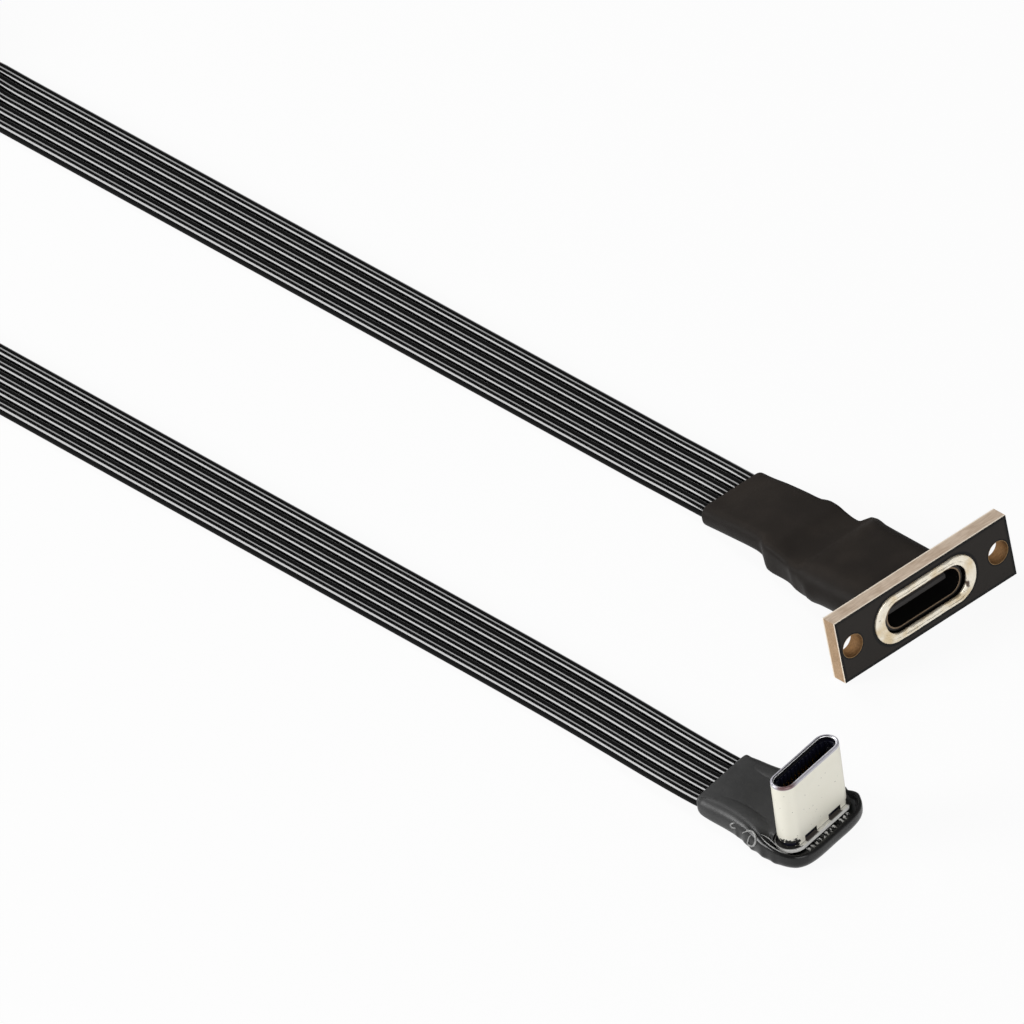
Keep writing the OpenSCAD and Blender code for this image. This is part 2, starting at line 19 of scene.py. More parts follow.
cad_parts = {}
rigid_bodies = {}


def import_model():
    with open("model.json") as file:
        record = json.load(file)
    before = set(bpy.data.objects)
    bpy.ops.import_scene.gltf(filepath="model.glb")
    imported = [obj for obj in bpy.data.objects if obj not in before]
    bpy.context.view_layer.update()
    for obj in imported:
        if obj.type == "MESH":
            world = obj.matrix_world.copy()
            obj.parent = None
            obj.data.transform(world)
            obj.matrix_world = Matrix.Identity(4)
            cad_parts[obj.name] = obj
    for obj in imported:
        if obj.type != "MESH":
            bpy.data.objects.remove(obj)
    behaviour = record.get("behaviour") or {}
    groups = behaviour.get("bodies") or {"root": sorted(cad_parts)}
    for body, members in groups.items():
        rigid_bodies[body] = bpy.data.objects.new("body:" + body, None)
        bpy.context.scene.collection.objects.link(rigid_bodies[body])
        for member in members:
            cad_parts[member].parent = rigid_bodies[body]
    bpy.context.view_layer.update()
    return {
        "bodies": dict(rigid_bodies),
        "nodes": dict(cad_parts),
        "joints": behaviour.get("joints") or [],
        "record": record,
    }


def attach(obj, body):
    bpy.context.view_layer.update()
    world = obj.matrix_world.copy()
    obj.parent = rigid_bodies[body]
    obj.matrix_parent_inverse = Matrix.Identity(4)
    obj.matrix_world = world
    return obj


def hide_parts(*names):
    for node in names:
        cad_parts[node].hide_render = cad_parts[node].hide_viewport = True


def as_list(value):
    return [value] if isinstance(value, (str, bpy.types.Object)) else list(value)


Array = np.ndarray
Colour = tuple[float, float, float, float]
Spot = tuple[float, float, float]
Band = tuple[float, float]
Pair = tuple[str, str]
Rows = tuple[tuple[float, ...], ...]

MM = 0.001
BODY = "root"
# degrees that the runs are turned on the table, and the plug against its run
RUN_YAW = 4.3
PLUG_TURN = 6.1
# how far the receptacle's rim lies behind the plate's front
RIM_RECESS = 0.3
# how squarely a face looks along an axis where it begins to count, and where it counts in full
FACING: Band = (0.5, 0.8)
GOLD: Pair = ("#b8923c", "#d9ba6a")
log = logging.getLogger("ribbon_cable")


def paint(code: str) -> Colour:
    """Return a written #rrggbb colour as linear light.

    Args:
        code: The colour as it should look, in hexadecimal.

    Returns:
        Red, green, blue and a full alpha.
    """
    shown = np.array([int(code[i:i + 2], 16) for i in (1, 3, 5)]) / 255
    linear = np.where(shown <= 0.04045, shown / 12.92, ((shown + 0.055) / 1.055) ** 2.4)
    return (*linear.tolist(), 1.0)


class Slope(Enum):
    """How a curve picks its slope where it passes a row."""

    STEADY = "no overshoot"
    FLOWING = "parallel to the neighbours' chord"


def through(marks: Array, rows: Array, at: Array, slope: Slope) -> Array:
    """Carry a cubic through rows of values.

    Each stretch is the Hermite cubic of its two rows. STEADY slopes are the harmonic mean of
    the two neighbouring slopes, or zero at a turn. FLOWING slopes join the rows on each side.

    Args:
        marks: Rising positions of the rows.
        rows: One row of values for each mark.
        at: Positions to evaluate.
        slope: The rule for the slopes.

    Returns:
        One row of values for each position.
    """
    step = np.diff(marks)[:, None]
    rise = np.diff(rows, axis=0) / step
    slopes = np.empty_like(rows)
    slopes[0], slopes[-1] = rise[0], rise[-1]
    if slope is Slope.FLOWING:
        slopes[1:-1] = (rows[2:] - rows[:-2]) / (marks[2:] - marks[:-2])[:, None]
    else:
        product = rise[:-1] * rise[1:]
        total = rise[:-1] + rise[1:]
        slopes[1:-1] = np.where(product > 0, 2 * product / np.where(total == 0, 1, total), 0)
    i = np.clip(np.searchsorted(marks, at, side="right") - 1, 0, len(marks) - 2)
    t = ((at - marks[i]) / step[i, 0])[:, None]
    return ((1 + 2 * t) * (1 - t) ** 2 * rows[i] + t * (1 - t) ** 2 * step[i] * slopes[i]
            + t * t * (3 - 2 * t) * rows[i + 1] + t * t * (t - 1) * step[i] * slopes[i + 1])


def unit(vectors: Array) -> Array:
    """Return the vectors at length one."""
    return vectors / np.linalg.norm(vectors, axis=-1, keepdims=True)


def ease(value: Array, low: float, high: float) -> Array:
    """Return a smooth step from 0 at low to 1 at high."""
    t = np.clip((value - low) / (high - low), 0, 1)
    return t * t * (3 - 2 * t)


def lengths(points: Array) -> Array:
    """Return the way along the chords up to each point."""
    return np.concatenate([[0], np.cumsum(np.linalg.norm(np.diff(points, axis=0), axis=1))])


def bells(points: Array, bumps: Rows) -> Array:
    """Add up bell-shaped bumps: each is its height times e to minus its squared distance.

    Args:
        points: Points in millimetres, of shape (u, v, 3).
        bumps: For each one x, y, z, its reach along x, y and z, and its height.

    Returns:
        How far each point is pushed outwards, of shape (u, v).
    """
    rows = np.array(bumps)
    away = (points[:, :, None] - rows[:, :3]) / rows[:, 3:6]
    return (np.exp(-(away ** 2).sum(-1)) * rows[:, 6]).sum(-1)


@dataclass(frozen=True)
class Place:
    """A local frame, with its origin in millimetres and its three axes as rows."""

    origin: Spot
    axes: tuple[Spot, Spot, Spot]

    @classmethod
    def along(cls, origin: Spot, forward: Spot) -> "Place":
        """Make a frame that looks along forward and keeps its second axis level.

        Args:
            origin: The frame's origin in millimetres.
            forward: Its first axis.

        Returns:
            The frame.
        """
        x = unit(np.array(forward, float))
        y = unit(np.cross((0, 0, 1), x))
        return cls(tuple(origin), tuple(map(tuple, np.array([x, y, np.cross(x, y)]).tolist())))

    @classmethod
    def turned(cls, origin: Spot, degrees: float) -> "Place":
        """Make a level frame that is turned about the upright axis."""
        angle = math.radians(degrees)
        return cls.along(origin, (math.cos(angle), math.sin(angle), 0))

    def row_frame(self, points: Array) -> Array:
        """Return local points in the row frame, still in millimetres."""
        return points @ np.array(self.axes) + np.array(self.origin)

    def local(self, points: Array) -> Array:
        """Return points of the row frame, in millimetres, in this frame."""
        return (points - np.array(self.origin)) @ np.array(self.axes).T


class Surface:
    """Grids of quads that are gathered into one mesh."""

    def __init__(self) -> None:
        """Start with nothing."""
        self.points: list[Array] = []
        self.quads: list[Array] = []
        self.marks: dict[str, list[Array]] = {}
        self.size = 0

    def grid(self, points: Array, wrap_u: bool = False, wrap_v: bool = False, **marks: Array) -> Array:
        """Add a grid of points and the quads between them.

        Args:
            points: Points in metres, of shape (u, v, 3).
            wrap_u: Whether the last row joins the first.
            wrap_v: Whether the last column joins the first.
            **marks: Values for each point, kept as attributes.

        Returns:
            The points' indices, of shape (u, v).
        """
        index = np.arange(points.shape[0] * points.shape[1]).reshape(points.shape[:2]) + self.size
        self.points.append(points.reshape(-1, 3))
        for name, values in marks.items():
            self.marks.setdefault(name, []).append(np.broadcast_to(values, index.shape).reshape(-1))
        self.size += index.size
        wrapped = np.concatenate([index, index[:1]]) if wrap_u else index
        wrapped = np.concatenate([wrapped, wrapped[:, :1]], axis=1) if wrap_v else wrapped
        self.strip(wrapped)
        return index

    def strip(self, index: Array) -> None:
        """Add the quads between neighbouring rows and columns of point indices."""
        corners = [index[:-1, :-1], index[1:, :-1], index[1:, 1:], index[:-1, 1:]]
        self.quads.append(np.stack(corners, axis=-1).reshape(-1, 4))

    def build(self, name: str, crease: float = 35) -> bpy.types.Object:
        """Make the mesh, close its seams and turn its faces outwards.

        Args:
            name: The piece's name.
            crease: Angle in degrees above which an edge stays sharp.

        Returns:
            The piece, at the origin and linked to the scene.
        """
        mesh = bpy.data.meshes.new(name)
        mesh.from_pydata(np.concatenate(self.points).tolist(), [], np.concatenate(self.quads).tolist())
        for mark, values in self.marks.items():
            layer = mesh.attributes.new(mark, "FLOAT", "POINT")
            layer.data.foreach_set("value", np.concatenate(values).astype(np.float32))
        work = bmesh.new()
        work.from_mesh(mesh)
        bmesh.ops.remove_doubles(work, verts=work.verts, dist=2e-7)
        bmesh.ops.recalc_face_normals(work, faces=work.faces)
        work.to_mesh(mesh)
        work.free()
        mesh.polygons.foreach_set("use_smooth", np.ones(len(mesh.polygons), bool))
        mesh.set_sharp_from_angle(angle=math.radians(crease))
        mesh.update()
        piece = bpy.data.objects.new(name, mesh)
        bpy.context.scene.collection.objects.link(piece)
        return piece


class Sock:
    """A shader socket with arithmetic: each operator adds a Math node."""

    def __init__(self, graph: "Graph", socket: bpy.types.NodeSocket) -> None:
        """Wrap an output socket of a graph."""
        self.graph = graph
        self.socket = socket

    def math(self, operation: str, *others: "Value") -> "Sock":
        """Add a Math node on this value and the others."""
        values = dict(enumerate((self, *others)))
        return self.graph.node("ShaderNodeMath", values, operation=operation)

    def __add__(self, other: "Value") -> "Sock":
        """Return the sum."""
        return self.math("ADD", other)

    def __sub__(self, other: "Value") -> "Sock":
        """Return the difference."""
        return self.math("SUBTRACT", other)

    def __rsub__(self, other: float) -> "Sock":
        """Return a number less this value."""
        return self.graph.node("ShaderNodeMath", {0: other, 1: self}, operation="SUBTRACT")

    def __mul__(self, other: "Value") -> "Sock":
        """Return the product."""
        return self.math("MULTIPLY", other)

    __radd__ = __add__
    __rmul__ = __mul__

    def __abs__(self) -> "Sock":
        """Return the size without its sign."""
        return self.math("ABSOLUTE")

    def least(self, other: "Value") -> "Sock":
        """Return the smaller value."""
        return self.math("MINIMUM", other)

    def most(self, other: "Value") -> "Sock":
        """Return the larger value."""
        return self.math("MAXIMUM", other)

    def step(self, low: float, high: float) -> "Sock":
        """Return a smooth step from 0 at low to 1 at high, which may be the lower number."""
        return self.graph.node("ShaderNodeMapRange", {"Value": self, "From Min": low, "From Max": high},
                               interpolation_type="SMOOTHSTEP")

    def dot(self, direction: Spot) -> "Sock":
        """Return this vector's share along a direction."""
        return self.graph.node("ShaderNodeVectorMath", {0: self, 1: direction}, out="Value",
                               operation="DOT_PRODUCT")

    def times(self, scale: Spot) -> "Sock":
        """Return this vector stretched by a scale for each axis."""
        return self.graph.node("ShaderNodeVectorMath", {0: self, 1: scale}, operation="MULTIPLY")


Value = Union[Sock, float]
Tone = Union[Sock, str]


def from_line(along: Sock, across: Sock, half: float) -> Sock:
    """Measure from a straight middle line, so that a racetrack is one distance from it.

    Args:
        along: The coordinate along the line.
        across: The coordinate square to it.
        half: Half the line's length.

    Returns:
        The distance in millimetres.
    """
    past_end = (abs(along) - half).most(0.0)
    return (across * across + past_end * past_end).math("SQRT")


class Graph:
    """A material's node tree, with one method for any node and short forms for the common ones."""

    def __init__(self, name: str) -> None:
        """Start an empty material."""
        self.material = bpy.data.materials.new(name)
        self.material.use_nodes = True
        self.tree = self.material.node_tree
        self.tree.nodes.clear()

    def node(self, kind: str, values: Optional[dict[Any, Any]] = None, out: Any = 0,
             **settings: Any) -> Sock:
        """Add a node, set it up and fill or link its inputs.

        Args:
            kind: The node's type.
            values: Numbers, colours or sockets by input name or place.
            out: Name or place of the output to return.
            **settings: The node's own properties, which are set first.

        Returns:
            The chosen output.
        """
        made = self.tree.nodes.new(kind)
        for key, value in settings.items():
            setattr(made, key, value)
        for key, value in (values or {}).items():
            if isinstance(value, Sock):
                self.tree.links.new(value.socket, made.inputs[key])
            else:
                made.inputs[key].default_value = value
        return Sock(self, made.outputs[out])

    def where(self) -> Sock:
        """Return the Object coordinates, in metres."""
        return self.node("ShaderNodeTexCoord", out="Object")

    def facing(self) -> Sock:
        """Return the surface's own normal in the object's frame."""
        return self.node("ShaderNodeTexCoord", out="Normal")

    def mark(self, name: str) -> Sock:
        """Return a point attribute of the mesh."""
        return self.node("ShaderNodeAttribute", out="Fac", attribute_name=name)

    def local(self, place: Place, axis: int) -> Sock:
        """Return one local coordinate of a place, in millimetres.

        Args:
            place: The local frame.
            axis: Which of its axes.

        Returns:
            The distance along that axis from the place's origin.
        """
        offset = float(np.dot(place.axes[axis], place.origin))
        return self.where().dot(place.axes[axis]) * (1 / MM) - offset

    def noise(self, per_mm: float, detail: float = 3, stretch: Spot = (1, 1, 1),
              at: Optional[Sock] = None) -> Sock:
        """Return smooth noise between 0 and 1.

        Args:
            per_mm: How many features lie in a millimetre.
            detail: How many finer layers are added.
            stretch: Scale for each axis.
            at: Coordinates in metres, or the Object coordinates.

        Returns:
            The noise value.
        """
        at = (at or self.where()).times(stretch)
        return self.node("ShaderNodeTexNoise", {"Vector": at, "Scale": per_mm / MM, "Detail": detail})

    def mix(self, share: Value, first: Tone, second: Tone) -> Sock:
        """Mix two colours.

        Args:
            share: How much of the second one there is, from 0 to 1.
            first: A socket or a written colour.
            second: Another one.

        Returns:
            The colour between them.
        """
        one, two = (paint(tone) if isinstance(tone, str) else tone for tone in (first, second))
        return self.node("ShaderNodeMix", {0: share, 6: one, 7: two}, out=2, data_type="RGBA")

    def bump(self, height: Sock, depth_mm: float, after: Optional[Sock] = None) -> Sock:
        """Return a normal that a height from 0 to 1 tilts.

        Args:
            height: The height.
            depth_mm: Its depth in millimetres.
            after: A normal to start from.

        Returns:
            The normal.
        """
        values = {"Height": height, "Distance": depth_mm * MM, "Strength": 1.0}
        if after:
            values["Normal"] = after
        return self.node("ShaderNodeBump", values)

    def finish(self, **sockets: Any) -> bpy.types.Material:
        """Close the material with a Principled shader.

        Args:
            **sockets: Values of its inputs, with spaces in their names as underscores.

        Returns:
            The finished material.
        """
        values = {key.replace("_", " "): value for key, value in sockets.items()}
        return self.close(self.node("ShaderNodeBsdfPrincipled", values))

    def close(self, shader: Sock) -> bpy.types.Material:
        """Link a shader to the material's output and return the material."""
        end = self.tree.nodes.new("ShaderNodeOutputMaterial")
        self.tree.links.new(shader.socket, end.inputs["Surface"])
        return self.material


class Finish(Protocol):
    """Anything that makes its own material."""

    def material(self) -> bpy.types.Material:
        """Return the material."""


@dataclass(frozen=True)
class Jacket:
    """Glossy extruded jacket of the bonded wires."""

    tones: Pair = ("#030303", "#070707")
    valley: str = "#060606"
    gloss: float = 0.1
    drag: float = 0.04
    valley_shade: float = 0.85
    # share of a wire's height where the painted shade in its valley begins, and where it is full
    valley_shade_band: Band = (0.6, 0.45)

    def material(self) -> bpy.types.Material:
        """Return black plastic, glossy in long drawn streaks, with painted shade in the valleys between
        wires, where a matt black takes over from the gloss.
        """
        graph = Graph("wire_jacket")
        marks = {place: graph.mark(name) for place, name in enumerate(("along", "around", "wire"))}
        flow = graph.node("ShaderNodeCombineXYZ", marks)
        streaks = graph.noise(6, 2, (0.02, 1, 1), flow)
        scuffs = graph.noise(1.2, 4, (0.3, 1, 1), flow)
        rough = self.gloss + self.drag * streaks + scuffs.step(0.6, 0.8) * self.drag
        glossy = graph.node("ShaderNodeBsdfPrincipled", {
            "Base Color": graph.mix(scuffs, *self.tones), "Roughness": rough,
            "Normal": graph.bump(streaks, 0.0005), "Specular IOR Level": 0.5})
        # painted shade: a matt black stands in the valleys between wires in place of the gloss
        dull = graph.node("ShaderNodeBsdfDiffuse", {"Color": paint(self.valley)})
        low = graph.mark("crest").step(*self.valley_shade_band)
        return graph.close(graph.node("ShaderNodeMixShader", {0: low * self.valley_shade, 1: glossy, 2: dull}))


@dataclass(frozen=True)
class Shrink:
    """Heat-shrink tube, matt with soft clouds, and darker and glossier where the mark darkening is set:
    painted shade on the near sides, and the plug sleeve's front.
    """

    name: str
    tones: Pair
    darkened: str
    dull: float
    shine: float
    level: float
    grain_share: float = 0.12

    def material(self) -> bpy.types.Material:
        """Return soft plastic with fine grain, which the mark darkening makes darker and glossier."""
        graph = Graph(self.name)
        grain = graph.noise(14, 3)
        # the mark carries painted shade on the near sides, and the plug sleeve's darker front
        stretched = graph.mark("stretched")
        tone = graph.mix(graph.noise(0.22, 4).step(0.35, 0.7), *self.tones)
        rough = self.dull + self.grain_share * (grain - 0.5) - stretched * (self.dull - self.shine)
        swell = graph.bump(graph.noise(0.8, 3), 0.04)
        return graph.finish(Base_Color=graph.mix(stretched, tone, self.darkened), Roughness=rough,
                            Normal=graph.bump(grain, 0.004, swell), Specular_IOR_Level=self.level)


@dataclass(frozen=True)
class Laminate:
    """Coated board with bare cut edges and bare hole walls, dark lines round the face's border and holes,
    painted shade round the solder ring, a top edge painted lighter as painted light, and painted highlight
    lines on the edge's corners.
    """

    place: Place
    half_w: float
    half_h: float
    hole_y: float
    hole_r: float
    ring_half: float
    ring_r: float
    # distances where a dark line or a tone begins and is full: in from the border, out from holes and
    # ring; the line round the ring is painted shade
    border_line: Band = (0.34, 0.22)
    hole_line: Band = (0.24, 0.14)
    ring_line: Band = (0.36, 0.22)
    hole_edge: Band = (0.06, 0.03)
    hole_wall: Band = (0.3, 0.1)
    # x where the painted highlight lines along the edge's front and rear corners begin and are full
    front_corner: Band = (-0.2, -0.1)
    rear_corner: Band = (-1.42, -1.5)
    coat: Pair = ("#211e1b", "#28231f")
    # dark lines at the face's border and holes, and painted shade round the solder ring
    outline: str = "#040404"
    brim: str = "#9c7c55"
    side: Pair = ("#a18467", "#bea182")
    # painted light: the top edge takes a lighter tone than the sides
    top: Pair = ("#b8a28c", "#d9c6b2")
    # painted highlight: the pale lines along the edge's front and rear corners
    corner: str = "#efe2d0"
    bored: Pair = ("#6d4d2b", "#8a6842")

    def material(self) -> bpy.types.Material:
        """Return a black satin face with dark lines at its border and holes and painted shade round the
        ring, tan edges with fibre lines, painted light on the lighter top edge, painted highlight lines on
        the corners, and brown holes.
        """
        graph = Graph("plate_laminate")
        x, y, z = (graph.local(self.place, axis) for axis in range(3))
        face = abs(graph.facing().dot(self.place.axes[0])).step(*FACING)
        off = abs(y) - self.hole_y
        hole = (off * off + z * z).math("SQRT") - self.hole_r
        border = (self.half_w - abs(y)).least(self.half_h - abs(z))
        ring = from_line(y, z, self.ring_half) - self.ring_r
        # dark lines at the border and holes, and painted shade round the solder ring
        line = border.step(*self.border_line).most(hole.step(*self.hole_line))
        line = line.most(ring.step(*self.ring_line))
        coat = graph.mix(line, graph.mix(graph.noise(0.3, 3), *self.coat), self.outline)
        coat = graph.mix(hole.step(*self.hole_edge), coat, self.brim)
        fibres = (graph.noise(7, 3, (1, 0.15, 1)) * 0.6 + graph.noise(0.5, 3) * 0.4).step(0.3, 0.7)
        # painted light: faces that look up take the lighter top tone
        upper = graph.facing().dot(self.place.axes[2]).step(*FACING)
        edge = graph.mix(upper, graph.mix(fibres, *self.side), graph.mix(fibres, *self.top))
        # painted highlight lines along the edge's front and rear corners
        edge = graph.mix(x.step(*self.front_corner).most(x.step(*self.rear_corner)), edge, self.corner)
        bare = graph.mix(hole.step(*self.hole_wall), edge, graph.mix(fibres, *self.bored))
        speckle = graph.noise(5, 4)
        rough = 0.62 - face * 0.2 + speckle * 0.08
        return graph.finish(Base_Color=graph.mix(face, bare, coat), Roughness=rough,
                            Normal=graph.bump(speckle, 0.006), Specular_IOR_Level=0.16)


@dataclass(frozen=True)
class Solder:
    """Hand-laid solder: dull bright metal with flux specks and one scorched chip, and painted shade down
    the lining of the mouth.
    """

    place: Place
    chip_y: float = 4.62
    chip_z: float = -1.05
    chip_slim: float = 4.0
    chip_r: Band = (0.8, 0.55)
    # x where the painted shade on the lining of the mouth begins and is full
    lining_x: Band = (-0.04, -0.08)
    tones: Pair = ("#faf2e0", "#e0cca8")
    scorched: str = "#4a3520"
    # painted shade on the lining of the mouth
    lining_shade: str = "#0d0b0a"

    def material(self) -> bpy.types.Material:
        """Return mottled metal that turns brown where the flux has burnt, and near-black painted shade on
        the lining of the mouth.
        """
        graph = Graph("solder")
        mottle = graph.noise(1.6, 4)
        specks = graph.noise(4.5, 2).step(0.7, 0.76)
        dy = graph.local(self.place, 1) - self.chip_y
        dz = graph.local(self.place, 2) - self.chip_z
        chip = (dy * dy * self.chip_slim + dz * dz).math("SQRT") + graph.noise(2.5, 2) * 0.5
        burnt = specks.most(chip.step(*self.chip_r))
        # painted shade: the lining inside the mouth turns near-black
        lined = graph.local(self.place, 0).step(*self.lining_x)
        tone = graph.mix(graph.noise(0.5, 3).step(0.45, 0.7), *self.tones)
        tone = graph.mix(lined, graph.mix(burnt, tone, self.scorched), self.lining_shade)
        return graph.finish(Base_Color=tone, Metallic=0.5 - burnt.most(lined) * 0.5,
                            Roughness=0.16 + mottle * 0.14, Normal=graph.bump(mottle, 0.01))


@dataclass(frozen=True)
class PlugSteel:
    """Plated drawn shell: pale satin sides, a polished rim, and painted light and shade on it: lip
    highlights, a dark mouth, dark window and seam lines, a bright foot edge, and a dark patch low at the
    near end.
    """

    place: Place
    rim_z: float
    foot_top: float
    patch_y: float
    half_span: float = 2.925
    inner_r: float = 0.95
    bead_r: float = 1.04
    flange_r: float = 1.5
    window_y: float = 1.65
    window_w: float = 1.5
    window_h: float = 0.5
    # how far the rear rim's grey crest reaches in past the front one's
    crest_in: float = 0.055
    # distances below the rim where a tone begins and is full
    rim_band: Band = (0.34, 0.2)
    inside_band: Band = (0.1, 0.16)
    cave_band: Band = (0.5, 0.45)
    glint_from: Band = (0.05, 0.065)
    glint_to: Band = (0.125, 0.11)
    # the same above the foot
    foot_band: Band = (0.02, -0.02)
    seam_from: Band = (0.01, 0.03)
    seam_to: Band = (0.1, 0.06)
    patch_band: Band = (2.0, 0.5)
    cut_band: Band = (0.3, 0.2)
    sill_band: Band = (0.08, 0.04)
    # the same from a window's edge
    window_line: Band = (0.09, 0.05)
    sill_side: Band = (0.06, -0.02)
    # the same along x and y, and from the y where the near end's dark patch begins
    front_x: Band = (-0.35, 0.35)
    reflected_red_x: Band = (-0.2, 0.5)
    reflected_red_y: Band = (-2.2, -3.4)
    cut_y: Band = (3.15, 3.35)
    strip_y: Band = (3.4, 3.2)
    patch_end: Band = (0.5, -0.4)
    body: Pair = ("#ece9d9", "#f4f1e5")
    # the foot's brighter tone, partly a painted highlight on the flange, and the painted highlight line
    # along the flange's outer edge
    bright: str = "#f7f6f2"
    bead: str = "#c4c2cb"
    # painted highlight on the front lip, and painted shade with a white painted highlight glint on the
    # rear one
    front_highlight: str = "#f6f5fb"
    rear_shade_and_glint: Pair = ("#0b0b12", "#ffffff")
    # painted reflection: the red-brown tint on the rim's near front
    reflected_red: str = "#6a3c38"
    # painted shade inside the mouth, darker deeper down
    mouth_shade: Pair = ("#17172a", "#07070e")
    # painted shade: the dark lines round the windows and along the foot's seam
    outline: str = "#0b0a0a"
    # painted shade on the flange's top inside the windows
    sill_shade: str = "#625b56"
    # the tone of the dark patches: ragged low at the near end, painted shade low at the far end, and
    # specks of dirt
    patch_tone: str = "#161412"

    def rim_tone(self, graph: Graph, x: Sock, depth: Sock, below: Sock) -> Sock:
        """Colour the rolled rim: a grey bead, a pale lip in front as painted highlight, and a dark one
        behind as painted shade with a painted highlight glint.

        Args:
            graph: The material's graph.
            x: The coordinate towards the front.
            depth: The distance from the shell's middle line.
            below: The distance below the rim.

        Returns:
            The colour.
        """
        front = x.step(*self.front_x)
        glint = below.step(*self.glint_from) * below.step(*self.glint_to)
        # painted highlight in front, painted shade with a glint behind
        lip = graph.mix(front, graph.mix(glint, *self.rear_shade_and_glint), self.front_highlight)
        crest = (depth + (1 - front) * self.crest_in).step(self.bead_r + 0.03, self.bead_r - 0.03)
        return graph.mix(crest, self.bead, lip)

    def dark_patches(self, graph: Graph, y: Sock, above: Sock) -> Sock:
        """Work out where the shell is darkened: a ragged dark patch low at the near end, painted shade low
        at the far end with a clean edge, and specks of dirt.

        Args:
            graph: The material's graph.
            y: The coordinate across the plug.
            above: The height above the foot.

        Returns:
            The share that is darkened.
        """
        low = above.step(*self.patch_band) * (y - self.patch_y).step(*self.patch_end)
        ragged = (low + graph.noise(3.5, 4) * 0.7).step(1.2, 1.26)
        # painted shade: a dark band low at the far end
        far_end = above.step(*self.cut_band) * y.step(*self.cut_y)
        return ragged.most(far_end).most(graph.noise(4, 2).step(0.735, 0.76))

    def material(self) -> bpy.types.Material:
        """Return cream metal with a polished rim, a pale front lip and a glint as painted highlights, a
        dark rear lip, a dark inside, dark window sills and dark lines round the windows and along the seam
        as painted shade, a red-brown painted reflection, a foot made brighter, partly as painted
        highlight, a painted highlight line on the flange's edge, a ragged dark patch low at the near end,
        painted shade low at the far end, and specks of dirt.
        """
        graph = Graph("plug_steel")
        x, y, z = (graph.local(self.place, axis) for axis in range(3))
        depth = from_line(y, x, self.half_span)
        below, above = self.rim_z - z, z - self.foot_top
        inside = depth.step(self.inner_r + 0.04, self.inner_r + 0.02) * below.step(*self.inside_band)
        rim, foot = below.step(*self.rim_band), above.step(*self.foot_band)
        # the foot takes a brighter tone, partly a painted highlight on the flange
        tone = graph.mix(foot, graph.mix(graph.noise(0.35, 3), *self.body), self.bright)
        tone = graph.mix(rim, tone, self.rim_tone(graph, x, depth, below))
        # painted reflection: a red-brown tint on the rim's near front
        reflected_red = rim * y.step(*self.reflected_red_y) * x.step(*self.reflected_red_x)
        tone = graph.mix(reflected_red * 0.85, tone, self.reflected_red)
        # painted shade: the inside of the mouth turns dark navy, darker deeper down
        tone = graph.mix(inside, tone, graph.mix(below.step(*self.cave_band), *self.mouth_shade))
        beside = abs(abs(y) - self.window_y) - self.window_w / 2
        pane = beside.most(abs(above - self.window_h / 2) - self.window_h / 2)
        seam = above.step(*self.seam_to) * above.step(*self.seam_from)
        outer = depth.step(self.inner_r + 0.02, self.inner_r + 0.06)
        # painted shade: dark lines round the windows and along the foot's seam
        shade_lines = (pane.step(*self.window_line) * (1 - foot)).most(seam) * outer
        tone = graph.mix(shade_lines, tone, self.outline)
        upward = graph.facing().dot((0, 0, 1)).step(*FACING)
        # painted shade on the flange's top inside the windows
        sill_shade = upward * beside.step(*self.sill_side) * abs(above).step(*self.sill_band)
        tone = graph.mix(sill_shade, tone, self.sill_shade)
        dark_patches = self.dark_patches(graph, y, above)
        tone = graph.mix(dark_patches, tone, self.patch_tone)
        # painted highlight: a bright line along the flange's outer edge, all but the far end
        strip = foot * depth.step(self.flange_r - 0.12, self.flange_r - 0.06) * y.step(*self.strip_y)
        tone = graph.mix(strip, tone, self.bright)
        grain = graph.noise(12, 2, (1, 1, 0.08)) * (1 - rim)
        rough = 0.4 - rim * 0.2 + grain * 0.06 + dark_patches * 0.3
        metal = (0.3 - rim * 0.1) * (1 - dark_patches.most(inside).most(foot).most(shade_lines) * 0.9)
        return graph.finish(Base_Color=tone, Metallic=metal, Roughness=rough,
                            Normal=graph.bump(grain, 0.002))


@dataclass(frozen=True)
class ShellSteel:
    """Plated sheet of the receptacle: dark grey as painted shade deep in the mouth, with a thin tan line
    on the rim's inner edge as painted highlight.
    """

    place: Place
    half_span: float = 2.89
    inner_r: float = 1.28
    # painted shade: the dark grey of the shell deep in the mouth
    sheet: Pair = ("#1c1b1a", "#262422")
    # painted highlight: the tan line on the faces that look out of the mouth
    brim: str = "#7d6a55"

    def material(self) -> bpy.types.Material:
        """Return metal painted dark as painted shade, with a tan painted highlight line on the faces that
        look out of the mouth.
        """
        graph = Graph("shell_steel")
        depth = from_line(graph.local(self.place, 1), graph.local(self.place, 2), self.half_span)
        outward = graph.facing().dot(self.place.axes[0]).step(0.6, 0.9)
        rim = outward * depth.step(self.inner_r + 0.15, self.inner_r + 0.1)
        drawn = graph.noise(9, 3, (0.1, 1, 1))
        # painted shade over the sheet, and a painted highlight line on the faces that look out
        tone = graph.mix(rim, graph.mix(drawn, *self.sheet), self.brim)
        return graph.finish(Base_Color=tone, Metallic=0.6, Roughness=0.34 + drawn * 0.12,
                            Normal=graph.bump(drawn, 0.002))


@dataclass(frozen=True)
class Plain:
    """A small part's finish: two tones, grain and a gloss."""

    name: str
    tones: Pair
    rough: float
    metal: float
    per_mm: float
    spread: float = 0.5

    def material(self) -> bpy.types.Material:
        """Return the two tones mixed by fine grain, which meet more sharply where spread is small."""
        graph = Graph(self.name)
        grain = graph.noise(self.per_mm, 3)
        share = grain.step(0.5 - self.spread, 0.5 + self.spread)
        return graph.finish(Base_Color=graph.mix(share, *self.tones), Metallic=self.metal,
                            Roughness=self.rough + grain * 0.12, Normal=graph.bump(grain, 0.004))


